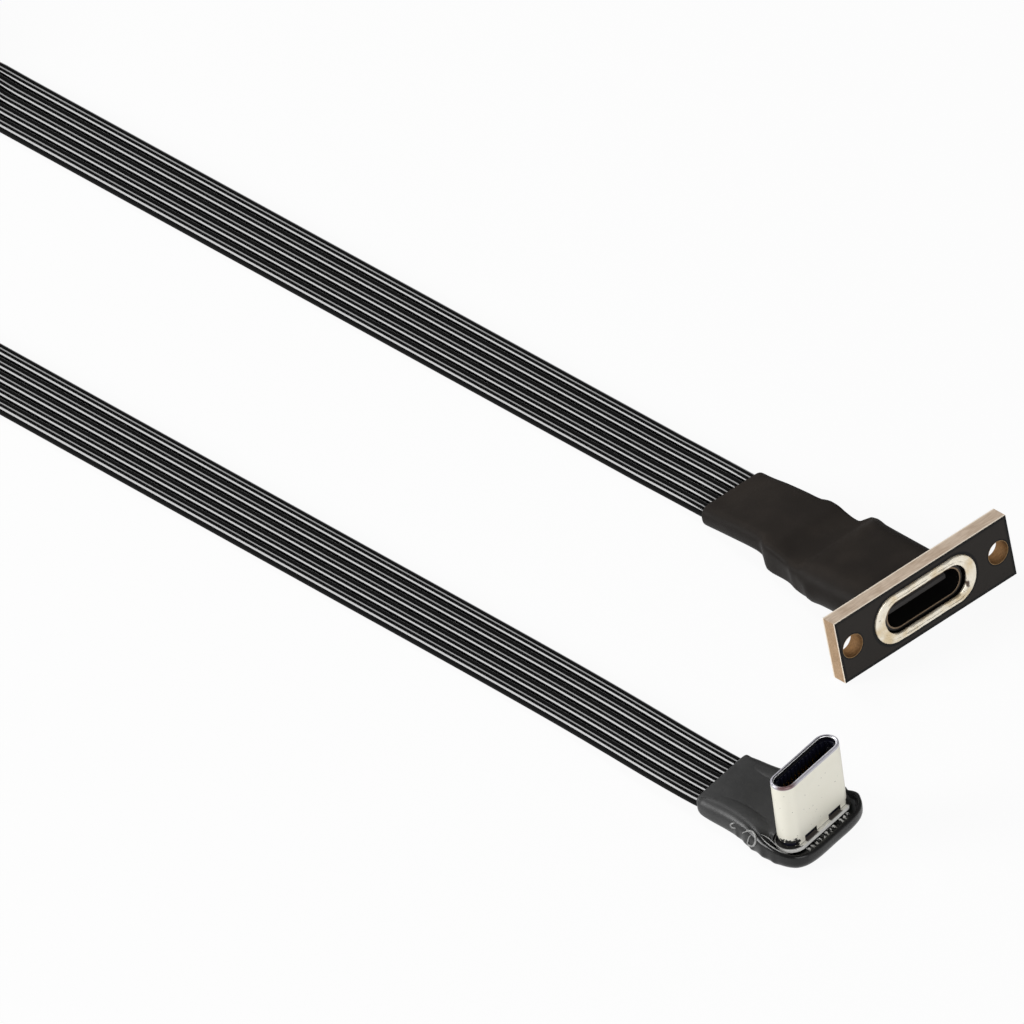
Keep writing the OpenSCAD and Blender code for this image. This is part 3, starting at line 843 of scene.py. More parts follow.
@dataclass(frozen=True)
class TinnedContact:
    """The plug's contacts: gold in the mouth, tinned on the board, where the tin is painted in patches of
    near-black painted shade and near-white painted highlight glints.
    """

    place: Place
    tin_top: float
    tin_shade_and_glints: Pair = ("#0e0e0e", "#f4f3f0")

    def material(self) -> bpy.types.Material:
        """Return gold that gives way below a height to tin in patches of painted shade and painted
        highlight glints.
        """
        graph = Graph("plug_contact_metal")
        grain = graph.noise(8, 3)
        low = graph.local(self.place, 2).step(self.tin_top + 0.1, self.tin_top)
        # painted shade and painted highlight: sharp near-black and near-white patches on the tin
        tin_shade_and_glints = graph.mix(graph.noise(2.6, 2).step(0.52, 0.6), *self.tin_shade_and_glints)
        tone = graph.mix(low, graph.mix(grain, *GOLD), tin_shade_and_glints)
        return graph.finish(Base_Color=tone, Metallic=1 - low * 0.7,
                            Roughness=0.2 + grain * 0.12, Normal=graph.bump(grain, 0.004))


def put_on(names: list[str], frame: dict[str, Any], finish: Finish) -> None:
    """Give CAD nodes a finish.

    Args:
        names: The nodes' names.
        finish: What makes their material.
    """
    material = finish.material()
    for name in names:
        mesh = frame["nodes"][name].data
        mesh.materials.clear()
        mesh.materials.append(material)


def take_over(piece: bpy.types.Object, node: str, finish: Finish) -> bpy.types.Object:
    """Let a piece stand for a CAD node, with its finish.

    Args:
        piece: The new piece.
        node: The node that it replaces.
        finish: What makes its material.

    Returns:
        The piece.
    """
    piece.data.materials.append(finish.material())
    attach(piece, BODY)
    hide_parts(node)
    log.info("%s stands for %s with %d faces", piece.name, node, len(piece.data.polygons))
    return piece


@dataclass
class Ribbon:
    """Five bonded round wires that lie along the route of the solids."""

    panel: Place
    run: Place
    plug: Place
    wire_d: float = 1.34
    wires: int = 5
    web: float = 0.1
    ring_step: float = 1.1
    arc_points: int = 13
    board_side: float = -0.55
    # how far apart the noise is between the upper and lower sides, and between wires
    sides_apart: float = 3.0
    wires_apart: float = 10.0
    # x and z in the receptacle's sleeve
    inside: tuple[Band, ...] = ((-16.4, 0.66), (-17.9, 0.66), (-21.65, 0.41), (-24.3, 0.06), (-25.3, 0.0))
    # way out of that sleeve, step aside from the upper run, height
    leaving: tuple[Spot, ...] = ((2.7, 0.08, 0.18), (6.2, 0, 0.05), (10, 0, 0))
    # how far the upper run lies aside from where it leaves the sleeve
    aside: float = 0.24
    # x, height and roll in degrees where a run turns on its edge
    twist: tuple[Spot, ...] = (
        (-60, 0, 0), (-80, 0, 0), (-100, 0, 0), (-128, 0, 0), (-131, 0.06, 5), (-134, 0.06, 20),
        (-137, 0.06, 37), (-140, 0.06, 54), (-143, 0.06, 70), (-146, 0.06, 84), (-149, 0, 90))
    loop_points: int = 7
    # x, share of the side step to the plug, height
    arriving: tuple[Spot, ...] = (
        (-40, 0, 0), (-32, 0.08, 0.05), (-26, 0.27, 0.19), (-21, 0.56, 0.41), (-17, 0.82, 0.61),
        (-13, 1, 0.77))
    plug_rows: tuple[float, ...] = (-10.2, -7.8, -6.3)
    plug_z: float = 1.47

    def rows(self) -> Array:
        """List the points between the sleeves, in the frame of the runs.

        The upper run leaves the receptacle's sleeve, turns on its edge and goes round half a circle
        to the lower run, which lies down again and steps aside to the plug.

        Returns:
            Rows of x, y, height above the lying ribbon and roll in degrees.
        """
        exit_x, exit_z = self.inside[-1]
        out_x, out_y, _ = self.run.local(self.panel.row_frame(np.array([exit_x, self.board_side, exit_z])))
        apart = out_y + self.aside
        radius = apart / 2
        step = self.plug_rows[0] * math.sin(math.radians(PLUG_TURN))
        leaving = [(out_x - way, apart - aside, height, 0) for way, aside, height in self.leaving]
        upper = [(x, apart, height, roll) for x, height, roll in self.twist]
        angle = np.linspace(0, math.pi, self.loop_points + 2)[1:-1]
        loop = np.column_stack([self.twist[-1][0] - radius * np.sin(angle), radius * (1 + np.cos(angle)),
                                0 * angle, 0 * angle + 90])
        lower = [(x, 0, height, roll) for x, height, roll in reversed(self.twist)]
        arriving = [(x, share * step, height, 0) for x, share, height in self.arriving]
        return np.concatenate([leaving, upper, loop, lower, arriving])

    def route(self) -> tuple[Array, Array]:
        """Work out the middle of the ribbon and its roll at even steps.

        The route's points are the solids' own, but for a gentler step up to the plug: some in the
        receptacle's frame, the rows on the table in the run's frame, lifted by half the standing
        width where the ribbon is rolled, and some in the plug. A flowing cubic over the chord
        length joins them and is held up where it would dip into the table.

        Returns:
            Points in millimetres of shape (n, 3), and the roll at each in radians.
        """
        first = np.array([(x, self.board_side, z) for x, z in self.inside])
        rows = self.rows()
        span = (self.wires - 1) * self.wire_d / 2
        lift = self.wire_d / 2 + rows[:, 2] + span * np.sin(np.radians(rows[:, 3]))
        middle = np.column_stack([rows[:, :2], lift])
        last = np.array([(x, 0, self.plug_z) for x in self.plug_rows])
        points = np.concatenate([self.panel.row_frame(first), self.run.row_frame(middle),
                                 self.plug.row_frame(last)])
        roll = np.concatenate([np.zeros(len(first)), np.radians(rows[:, 3]), np.zeros(len(last))])
        marks = lengths(points)
        at = np.linspace(0, marks[-1], int(marks[-1] / self.ring_step) + 1)
        spots = through(marks, points, at, Slope.FLOWING)
        turns = through(marks, roll[:, None], at, Slope.STEADY)[:, 0]
        spots[:, 2] = np.maximum(spots[:, 2], self.wire_d / 2 + span * np.sin(turns))
        return spots, turns

    def outline(self) -> tuple[Array, Array, Array]:
        """Work out the section's upper edge: one arc for each wire, cut off at the web.

        Returns:
            Places across, heights, and the wire's number for each point.
        """
        radius = self.wire_d / 2
        start = math.asin(self.web / radius)
        turn = np.linspace(math.pi - start, start, self.arc_points)
        number = np.repeat(np.arange(self.wires), self.arc_points)
        centre = (number - (self.wires - 1) / 2) * self.wire_d
        turns = np.tile(turn, self.wires)
        return centre + radius * np.cos(turns), radius * np.sin(turns), number

    def build(self) -> tuple[bpy.types.Object, Array]:
        """Carry the section along the route and close both ends.

        A point is the route's point plus its place across times the level side direction and its
        height times the upward one, both turned about the route by the roll.

        Returns:
            The piece and the route in metres.
        """
        middle, roll = self.route()
        forward = unit(np.gradient(middle, axis=0))
        side = unit(np.cross((0, 0, 1), forward))
        rise = np.cross(forward, side)
        turn = roll[:, None]
        across = side * np.cos(turn) + rise * np.sin(turn)
        upward = rise * np.cos(turn) - side * np.sin(turn)
        place, height, number = self.outline()
        place, height = np.concatenate([place, place[::-1]]), np.concatenate([height, -height[::-1]])
        number = np.concatenate([number, number[::-1]])
        points = (middle[:, None] + across[:, None] * place[None, :, None]
                  + upward[:, None] * height[None, :, None])
        skin = Surface()
        index = skin.grid(points * MM, wrap_v=True, along=(lengths(middle) * MM)[:, None],
                          around=(place + self.sides_apart * np.sign(height))[None] * MM,
                          wire=number[None] * self.wires_apart * MM,
                          crest=np.abs(height)[None] * 2 / self.wire_d)
        half = len(place) // 2
        for ring in (index[0], index[-1]):
            skin.strip(np.stack([ring[:half], ring[:half - 1:-1]]))
        return skin.build("ribbon_wires", crease=40), middle * MM


@dataclass
class Section:
    """A rounded rectangle's outline, with its points on each corner's arc and on the flats between."""

    arc: int = 8
    wide: int = 16
    tall: int = 4

    def template(self) -> tuple[Array, Array]:
        """Work out the points round the outline, from the first corner on.

        Returns:
            The corner's sign for each point and its direction from the corner's centre, which is also
            its outward direction, each of shape (n, 2).
        """
        corner = np.array([(1, 1), (-1, 1), (-1, -1), (1, -1)], float)
        signs, ways = [], []
        for k, flat in enumerate((self.wide, self.tall, self.wide, self.tall)):
            turn = math.pi / 2 * (k + np.linspace(0, 1, self.arc))
            share = np.linspace(0, 1, flat + 2)[1:-1, None]
            signs += [np.repeat(corner[k:k + 1], self.arc, 0),
                      corner[k] * (1 - share) + corner[(k + 1) % 4] * share]
            way = np.column_stack([np.cos(turn), np.sin(turn)])
            ways += [way, np.repeat(way[-1:], flat, 0)]
        return np.concatenate(signs), np.concatenate(ways)


@dataclass
class ShrunkSleeve:
    """The heat-shrink tube behind the panel plate, drawn down over shell, board and ribbon."""

    panel: Place
    wall: float = 0.35
    drawn_wall: float = 0.18
    step: float = 0.3
    lip_points: int = 7
    front: float = -1.6
    rear: float = -25.3
    # x where the wall begins to thin, and where it is drawn thin over the shell
    drawn_over: Band = (-13.5, -11.9)
    # how far the near side is darkened as painted shade, and how squarely a face looks there where that
    # begins and is full
    darkened: float = 0.8
    shade_facing: Band = (0.2, 0.9)
    # x, near half width, far half width, underside, top, corner radius
    rows: Rows = (
        (-25.3, 4.31, 3.21, -1.08, 1.08, 0.97), (-24.3, 4.31, 3.21, -1.02, 1.14, 0.97),
        (-21.65, 4.4, 3.21, -0.75, 1.49, 0.97), (-18.2, 4.43, 3.21, -0.55, 1.74, 0.95),
        (-17.1, 4.42, 3.25, -0.72, 1.76, 0.85), (-16.6, 4.66, 3.34, -1.2, 1.76, 0.65),
        (-16.2, 4.84, 3.4, -1.42, 1.76, 0.6), (-15.4, 4.88, 3.4, -1.5, 1.74, 0.6),
        (-14.3, 4.86, 3.38, -1.5, 1.46, 0.6), (-13.2, 4.95, 3.38, -1.45, 1.24, 0.6),
        (-12.35, 5.1, 3.45, -1.5, 1.2, 0.6), (-11.85, 5.22, 4.66, -1.6, 1.22, 0.7),
        (-11.2, 5.3, 4.68, -1.8, 1.5, 1.0), (-10.5, 5.4, 4.68, -2.1, 1.76, 1.6),
        (-9.9, 5.54, 4.69, -2.3, 1.81, 1.9), (-8.6, 5.42, 4.69, -2.3, 1.81, 1.95),
        (-6.5, 5.4, 4.69, -2.25, 1.81, 1.95), (-3.4, 5.24, 4.69, -2.1, 1.81, 1.95),
        (-1.6, 5.14, 4.72, -2.05, 1.81, 1.95))
    # x, y, z of each bump or dent, its reach along x, y and z, and its height
    dents: Rows = (
        (-16.6, -3.9, 1.6, 0.7, 0.6, 0.8, 0.10), (-14.2, -4.1, 1.2, 0.9, 0.7, 0.8, 0.08),
        (-12.2, -4.5, 0.3, 0.35, 0.9, 1.2, 0.16), (-9.5, -4.6, -0.4, 1.1, 0.8, 1.0, 0.14),
        (-7.6, -4.4, 1.0, 0.6, 0.6, 0.9, -0.14), (-3.0, -4.6, 0.2, 0.7, 0.8, 1.2, -0.16),
        (-11.0, 4.3, 1.5, 0.9, 0.9, 0.9, -0.06), (-19.5, 1.0, 1.7, 2.0, 1.6, 0.8, 0.05),
        (-6.0, 0.4, 2.0, 2.6, 1.8, 0.8, -0.06))

    def build(self) -> bpy.types.Object:
        """Carry the section along the tube, out and back through its wall.

        The loop of stations runs forward along the outside, back along the inside and round the
        rear edge on a half circle. A station's ring is the rounded rectangle of the steady curve
        through the rows, drawn in by its inset. The wall thins where it is drawn over the shell.
        Each bump moves the outside outwards by its height times a bell of its distance.

        Returns:
            The piece.
        """
        count = int((self.front - self.rear) / self.step)
        bend = np.linspace(0, math.pi, self.lip_points)[1:-1]
        out = np.linspace(self.rear, self.front, count)
        x = np.concatenate([out, out[::-1], self.rear - self.wall / 2 * np.sin(bend)])
        wall = self.wall + (self.drawn_wall - self.wall) * ease(out, *self.drawn_over)
        inset = np.concatenate([np.zeros(count), wall[::-1], self.wall / 2 * (1 + np.cos(bend))])
        rows = np.array(self.rows)
        shape = through(rows[:, 0], rows[:, 1:], np.clip(x, self.rear, self.front), Slope.STEADY)
        near, far, low, high, radius = shape.T
        half, middle = (near + far) / 2 - inset, (far - near) / 2
        tall, level = (high - low) / 2 - inset, (high + low) / 2
        radius = np.minimum(radius - inset, tall)
        signs, ways = Section().template()
        y = (middle[:, None] + signs[:, 0] * (half - radius)[:, None] + ways[:, 0] * radius[:, None])
        z = (level[:, None] + signs[:, 1] * (tall - radius)[:, None] + ways[:, 1] * radius[:, None])
        points = np.stack([np.broadcast_to(x[:, None], y.shape), y, z], axis=-1)
        push = bells(points, self.dents) * (inset == 0)[:, None]
        points[..., 1:] += push[..., None] * ways
        # painted shade: the faces on the near side are darkened
        stretched = self.darkened * ease(-ways[None, :, 0], *self.shade_facing)
        skin = Surface()
        skin.grid(self.panel.row_frame(points) * MM, wrap_u=True, wrap_v=True, stretched=stretched)
        return skin.build("receptacle_shrink_sleeve", crease=50)


@dataclass
class SolderRing:
    """The bead of solder round the receptacle's mouth, with the collar that holds the shell."""

    panel: Place
    outer_w: float = 11.7
    outer_h: float = 4.8
    inner_w: float = 9.38
    inner_h: float = 3.28
    slot_w: float = 9.5
    slot_h: float = 3.4
    shell_w: float = 8.94
    shell_h: float = 3.16
    floor: float = -0.04
    crown: float = 0.16
    # depth of the groove as a share of the dome, its place across the dome and its width
    groove: Spot = (0.4, 0.52, 0.13)
    collar: float = -0.7
    deep: float = -1.3
    steps: int = 240
    dome_points: int = 29
    # waves round the ring: how many there are, their phase and their height as a share
    crown_waves: tuple[Spot, ...] = ((5, 0.6, 0.16), (11, 2, 0.12), (23, 0, 0.08))
    edge_waves: tuple[Spot, ...] = ((7, 1, 0.004), (17, 0, 0.003))

    @staticmethod
    def waves(turn: Array, rows: tuple[Spot, ...]) -> Array:
        """Return one plus the sum of the sine waves of the rows."""
        count, phase, height = np.array(rows).T
        return 1 + (height * np.sin(2 * math.pi * turn[:, None] * count + phase)).sum(-1)

    @staticmethod
    def stadium(width: float, height: float, turn: Array) -> Array:
        """Return points of a racetrack: a circle whose halves are moved apart.

        Args:
            width: Overall width.
            height: Overall height.
            turn: Share of the way round for each point, from 0 to 1.

        Returns:
            Points of shape (n, 2) at even steps along the racetrack.
        """
        radius, half = height / 2, (width - height) / 2
        arc, flat = math.pi * radius, 2 * half
        way = turn * 2 * (arc + flat)
        side = np.where(way < arc + flat, 1.0, -1.0)
        rest = way % (arc + flat)
        angle = np.minimum(rest, arc) / radius - math.pi / 2
        slide = np.maximum(rest - arc, 0)
        points = np.column_stack([half - slide + radius * np.cos(angle), radius * np.sin(angle)])
        return side[:, None] * points

    def build(self) -> bpy.types.Object:
        """Carry a closed bead profile round the mouth.

        The profile is a low dome from the outer edge to the inner one with a shallow groove along
        its middle. Its crown and its inner edge swell and sink with a few waves round the ring.
        Then come the lining down to the collar, the collar's top in to the shell, its wall down,
        and the slot's wall back up.

        Returns:
            The piece.
        """
        turn = np.linspace(0, 1, self.steps, endpoint=False)
        outer = self.stadium(self.outer_w, self.outer_h, turn)
        inner = self.stadium(self.inner_w, self.inner_h, turn) * self.waves(turn, self.edge_waves)[:, None]
        slot = self.stadium(self.slot_w, self.slot_h, turn)
        shell = self.stadium(self.shell_w, self.shell_h, turn)
        dome = np.linspace(0, math.pi, self.dome_points)
        share = (1 - np.cos(dome)) / 2
        depth, middle, width = self.groove
        dip = 1 - depth * np.exp(-((share - middle) / width) ** 2)
        over = outer[:, None] + (inner - outer)[:, None] * share[None, :, None]
        swell = self.crown * self.waves(turn, self.crown_waves)
        height = np.sqrt(np.abs(np.sin(dome))) * dip * swell[:, None]
        height[:, 0] = self.floor
        wall = ((inner, self.collar), (shell, self.collar), (shell, self.deep), (slot, self.deep),
                (slot, self.floor))
        plan = np.concatenate([over, np.stack([edge for edge, _ in wall], axis=1)], axis=1)
        levels = np.broadcast_to([level for _, level in wall], (self.steps, len(wall)))
        raised = np.concatenate([height, levels], axis=1)
        points = np.concatenate([raised[..., None], plan], axis=-1)
        skin = Surface()
        skin.grid(self.panel.row_frame(points) * MM, wrap_u=True, wrap_v=True)
        return skin.build("solder_bead", crease=60)


@dataclass
class BoatSleeve:
    """The heat-shrink sleeve of the plug: a flat tail that opens into a boat-shaped lip."""

    plug: Place
    wall: float = 0.2
    steps: int = 150
    spine: Band = (-8.8, 0.8)
    under_r: float = 0.9
    least_r: float = 0.05
    arc_points: int = 8
    flat_points: int = 8
    top_points: int = 22
    # where the lumps push away from, and how much they do so along each axis
    core: Spot = (-2.0, 0.0, 1.0)
    core_way: Spot = (0.3, 1.0, 1.0)
    # x where the front turns darker and glossier, how far it does so, and distance aside where the near
    # side darkens as painted shade
    darker_front: Band = (-2.5, 0.5)
    darkened: float = 0.8
    shade_near: Band = (3.4, 4.6)
    # outline x and y, mouth x and y, crest, height at the mouth, underside, edge radius, reach inwards
    rows: Rows = (
        (-10.2, 0.0, -1.3, 0.0, 2.52, 2.28, 0.39, 0.4, 2.0),
        (-10.2, 3.0, -1.3, 2.0, 2.52, 2.28, 0.39, 0.4, 2.0),
        (-10.06, 3.55, -1.3, 2.4, 2.5, 2.28, 0.4, 0.5, 2.0),
        (-9.5, 3.78, -1.3, 2.7, 2.5, 2.28, 0.3, 0.9, 2.0),
        (-6.8, 3.92, -1.3, 3.1, 2.48, 2.28, 0.05, 0.95, 1.8),
        (-4.6, 4.3, -1.27, 3.5, 2.45, 2.26, 0.0, 0.9, 1.4),
        (-3.0, 4.8, -1.2, 3.9, 2.36, 2.2, 0.0, 0.8, 1.0),
        (-1.5, 5.1, -0.9, 4.35, 2.1, 1.8, 0.0, 0.5, 0.3),
        (0.4, 5.14, 0.2, 4.66, 1.82, 1.3, 0.0, 0.3, 0.1),
        (1.7, 4.7, 1.4, 4.28, 1.7, 1.25, 0.0, 0.28, 0.06),
        (2.4, 3.8, 2.0, 3.5, 1.64, 1.25, 0.0, 0.28, 0.06),
        (2.68, 2.4, 2.24, 2.3, 1.6, 1.25, 0.0, 0.28, 0.06),
        (2.7, 0.0, 2.25, 0.0, 1.58, 1.25, 0.0, 0.28, 0.06))
    # x, y, z of each lump, its reach along x, y and z, and its height
    lumps: Rows = (
        (-5.2, -4.2, 0.9, 0.30, 0.5, 0.35, 0.12), (-4.0, -4.5, 0.8, 0.55, 0.5, 0.5, 0.16),
        (-3.2, -4.8, 0.5, 0.30, 0.5, 0.35, 0.14), (-1.7, -5.1, 0.7, 0.45, 0.5, 0.4, 0.13),
        (-0.4, -5.1, 0.5, 0.35, 0.4, 0.35, 0.10), (0.9, 5.0, 0.6, 0.7, 0.6, 0.5, 0.16),
        (0.1, 5.1, 1.6, 0.3, 0.6, 0.6, -0.2), (1.0, 4.9, 1.4, 0.45, 0.6, 0.6, 0.16),
        (-6.4, 1.2, 2.4, 1.4, 1.3, 0.5, -0.05), (-4.2, -1.0, 2.4, 1.6, 1.6, 0.5, -0.06))

    def curves(self) -> Array:
        """Carry the rows round the whole sleeve.

        Returns:
            Rows of the nine values at even steps, down the far side and back along the near one.
        """
        rows = np.array(self.rows)
        marks = lengths(rows[:, :2])
        at = np.linspace(0, marks[-1], self.steps)
        half = np.column_stack([through(marks, rows[:, :4], at, Slope.FLOWING),
                                through(marks, rows[:, 4:], at, Slope.STEADY)])
        mirror = half[-2:0:-1] * np.array([1, -1, 1, -1, 1, 1, 1, 1, 1])
        return np.concatenate([half, mirror])

    def skin(self, inset: float) -> Array:
        """Work out one skin of the sleeve, from its underside's spine to its mouth.

        From the spine the underside runs flat to the edge, turns up on a quarter circle, stands,
        turns in on a second quarter circle to the crest and then runs on a quadratic Bezier curve,
        which leaves square to the outline, to the mouth while its height eases to the mouth's.

        Args:
            inset: How far the skin lies inside the outer one.

        Returns:
            Points in millimetres of shape (u, v, 3).
        """
        curves = self.curves()
        outline, mouth = curves[:, :2], curves[:, 2:4]
        crest, edge, low, radius, reach = np.split(curves[:, 4:], 5, axis=1)
        forward = np.roll(outline, -1, 0) - np.roll(outline, 1, 0)
        inward = unit(np.column_stack([forward[:, 1], -forward[:, 0]]))
        spine = np.column_stack([np.clip(outline[:, 0], *self.spine), np.zeros(len(outline))])
        lower = max(self.under_r - inset, self.least_r)
        upper = np.maximum(radius - inset, self.least_r)
        quarter = np.linspace(0, math.pi / 2, self.arc_points)[None]
        flat = np.linspace(0, 1, self.flat_points)[None, :-1]
        run = np.linspace(0, 1, self.top_points)[None, 1:]
        foot = outline + inward * (inset + lower)
        under = spine[:, None] + (foot - spine)[:, None] * flat[..., None]
        bend = inset + lower * (1 - np.sin(quarter))
        fold = inset + upper * (1 - np.cos(quarter))
        bottom = outline[:, None] + inward[:, None] * bend[..., None]
        top = outline[:, None] + inward[:, None] * fold[..., None]
        start = outline + inward * (inset + upper)
        guide = start + inward * reach
        t = run[..., None]
        over = (1 - t) ** 2 * start[:, None] + 2 * t * (1 - t) * guide[:, None] + t * t * mouth[:, None]
        plan = np.concatenate([under, bottom, top, over], axis=1)
        height = np.concatenate([
            np.broadcast_to(low + inset, under.shape[:2]),
            low + inset + lower * (1 - np.cos(quarter)),
            crest - inset - upper * (1 - np.sin(quarter)),
            crest - inset + (edge - crest) * ease(run, 0.1, 1.0)], axis=1)
        return np.concatenate([plan, height[..., None]], axis=-1)

    def build(self) -> bpy.types.Object:
        """Join the outer and inner skins at the mouth and raise the lumps of squeezed glue.

        Returns:
            The piece.
        """
        outer, inner = self.skin(0.0), self.skin(self.wall)
        outward = unit((outer - np.array(self.core)) * np.array(self.core_way))
        outer = outer + outward * bells(outer, self.lumps)[..., None]
        points = np.concatenate([outer, inner[:, ::-1]], axis=1)
        # painted shade on the near side, and a darker, glossier front
        darkened = self.darkened * ease(points[..., 0], *self.darker_front) + ease(-points[..., 1], *self.shade_near)
        stretched = np.minimum(darkened, 1)
        skin = Surface()
        skin.grid(self.plug.row_frame(points) * MM, wrap_u=True, stretched=stretched)
        return skin.build("plug_shrink_sleeve", crease=60)


@dataclass
class GlueStrings:
    """Dried strings of glue on the near end of the plug's sleeve."""

    plug: Place
    steps: int = 60
    sides: int = 8
    # radius of each string and the points that it passes
    strings: tuple[tuple[float, tuple[Spot, ...]], ...] = (
        (0.055, ((-2.1, -4.5, 2.22), (-1.5, -4.72, 2.13), (-0.7, -4.86, 2.0), (0.2, -4.88, 1.87),
                 (1.0, -4.72, 1.79))),
        (0.055, ((-2.3, -4.3, 2.28), (-1.7, -4.2, 2.14), (-1.1, -4.26, 1.98), (-0.5, -4.42, 1.84))),
        (0.1, ((-4.37, -4.41, 1.51), (-4.06, -4.43, 1.84), (-3.29, -4.37, 2.26), (-2.65, -4.62, 2.18),
               (-2.44, -4.95, 1.72), (-2.94, -4.86, 1.04), (-3.54, -4.74, 0.95), (-3.36, -4.71, 1.66),
               (-3.13, -4.6, 2.1))),
        (0.09, ((-5.42, -4.03, 2.0), (-5.89, -4.06, 1.63), (-5.78, -4.09, 1.39), (-5.23, -4.19, 1.57))))

    def build(self) -> bpy.types.Object:
        """Carry a circle along the flowing curve through each string's points.

        The circle's radius swells from nothing at one end to the middle and shrinks again.

        Returns:
            The piece.
        """
        turn = np.linspace(0, 2 * math.pi, self.sides, endpoint=False)[:, None]
        skin = Surface()
        for radius, string in self.strings:
            points = np.array(string)
            marks = lengths(points)
            at = np.linspace(0, marks[-1], self.steps)
            middle = through(marks, points, at, Slope.FLOWING)
            forward = unit(np.gradient(middle, axis=0))
            side = unit(np.cross((0, 1, 0), forward))
            rise = np.cross(forward, side)
            thick = radius * np.sqrt(np.abs(np.sin(math.pi * at / marks[-1])))
            ring = side[:, None] * np.cos(turn) + rise[:, None] * np.sin(turn)
            skin.grid(self.plug.row_frame(middle[:, None] + ring * thick[:, None, None]) * MM, wrap_v=True)
        return skin.build("glue_strings", crease=60)


@dataclass(frozen=True)
class Softbox:
    """A rectangular studio lamp that faces the frame's origin, in metres."""

    name: str
    toward: Spot
    away: float
    width: float
    height: float
    radiance: float

    def build(self) -> None:
        """Hang the lamp: its power is its radiance times its area times pi."""
        data = bpy.data.lights.new(self.name, "AREA")
        data.shape = "RECTANGLE"
        data.size, data.size_y = self.width, self.height
        data.energy = self.radiance * math.pi * self.width * self.height
        lamp = bpy.data.objects.new(self.name, data)
        back = unit(np.array(self.toward))
        right = unit(np.cross((0, 0, 1), back))
        turn = np.eye(4)
        turn[:3, :3] = np.column_stack([right, np.cross(back, right), back])
        turn[:3, 3] = back * self.away
        lamp.matrix_world = Matrix(turn.tolist())
        lamp.visible_camera = False
        bpy.context.scene.collection.objects.link(lamp)


@dataclass(frozen=True)
class Studio:
    """The photograph's view, a white table and soft lamps."""

    # where the camera stands and how far it is rolled, in degrees
    azimuth: float = -35.94
    elevation: float = 39.19
    roll: float = -7.88
    # the picture's pixel that shows the frame's origin
    origin_px: Band = (835.7, 567.4)
    px_per_mm: float = 11.42
    picture: int = 1024
    away: float = 3.5
    # the camera sensor's width in millimetres
    sensor: float = 9.0
    # the table's width, how grey it is, and how far it lies below the part
    table: float = 16.0
    table_grey: float = 0.86
    table_drop: float = 0.02 * MM
    # how much of plain white it shows to the camera
    glow: float = 0.93
    lamps: tuple[Softbox, ...] = (
        Softbox("key_left", (-0.53, -0.75, 0.39), away=0.7, width=0.32, height=0.26, radiance=14.0),
        Softbox("overhead_strip", (-0.59, 0.07, 0.8), away=0.8, width=0.2, height=0.4, radiance=7.0),
        Softbox("front_fill", (0.86, -0.25, 0.45), away=0.9, width=0.7, height=0.6, radiance=3.4),
    )
    ambient: float = 0.08

    def camera(self) -> None:
        """Look at the middle of the picture from far off, so that lines stay nearly parallel."""
        az, el, roll = (math.radians(a) for a in (self.azimuth, self.elevation, self.roll))
        back = np.array([math.cos(el) * math.cos(az), math.cos(el) * math.sin(az), math.sin(el)])
        level = unit(np.cross((0, 0, 1), back))
        rise = np.cross(back, level)
        right = math.cos(roll) * level + math.sin(roll) * rise
        up = -math.sin(roll) * level + math.cos(roll) * rise
        middle = self.picture / 2
        u, v = self.origin_px
        aim = ((middle - u) * right + (v - middle) * up) / self.px_per_mm * MM
        turn = np.eye(4)
        turn[:3, :3] = np.column_stack([right, up, back])
        turn[:3, 3] = aim + back * self.away
        data = bpy.data.cameras.new("photo_view")
        data.sensor_width = self.sensor
        data.lens = self.sensor * self.away / (self.picture / self.px_per_mm * MM)
        data.clip_end = 4 * self.away
        camera = bpy.data.objects.new("photo_view", data)
        camera.matrix_world = Matrix(turn.tolist())
        bpy.context.scene.collection.objects.link(camera)
        bpy.context.scene.camera = camera

    def floor(self) -> None:
        """Lay a white table that shows white to the view and to reflections and keeps a shadow."""
        graph = Graph("white_table")
        path = "ShaderNodeLightPath"
        seen = (graph.node(path, out="Is Camera Ray").most(graph.node(path, out="Is Glossy Ray"))
                .most(graph.node(path, out="Is Transmission Ray")))
        plain = graph.node("ShaderNodeBsdfDiffuse", {"Color": (*[self.table_grey] * 3, 1)})
        white = graph.node("ShaderNodeEmission", {"Color": (1, 1, 1, 1), "Strength": 1.0})
        shade = graph.node("ShaderNodeMixShader", {0: seen * self.glow, 1: plain, 2: white})
        corner = np.array([[(-1, -1, 0), (-1, 1, 0)], [(1, -1, 0), (1, 1, 0)]], float) * self.table / 2
        corner[..., 2] = -self.table_drop
        sheet = Surface()
        sheet.grid(corner)
        table = sheet.build("table")
        table.data.materials.append(graph.close(shade))

    def light(self) -> None:
        """Hang the lamps and a dim even surround."""
        for lamp in self.lamps:
            lamp.build()
        world = bpy.data.worlds.new("surround")
        world.use_nodes = True
        grey = world.node_tree.nodes["Background"].inputs
        grey["Color"].default_value = (1, 1, 1, 1)
        grey["Strength"].default_value = self.ambient
        bpy.context.scene.world = world
        bpy.context.scene.view_settings.view_transform = "Standard"


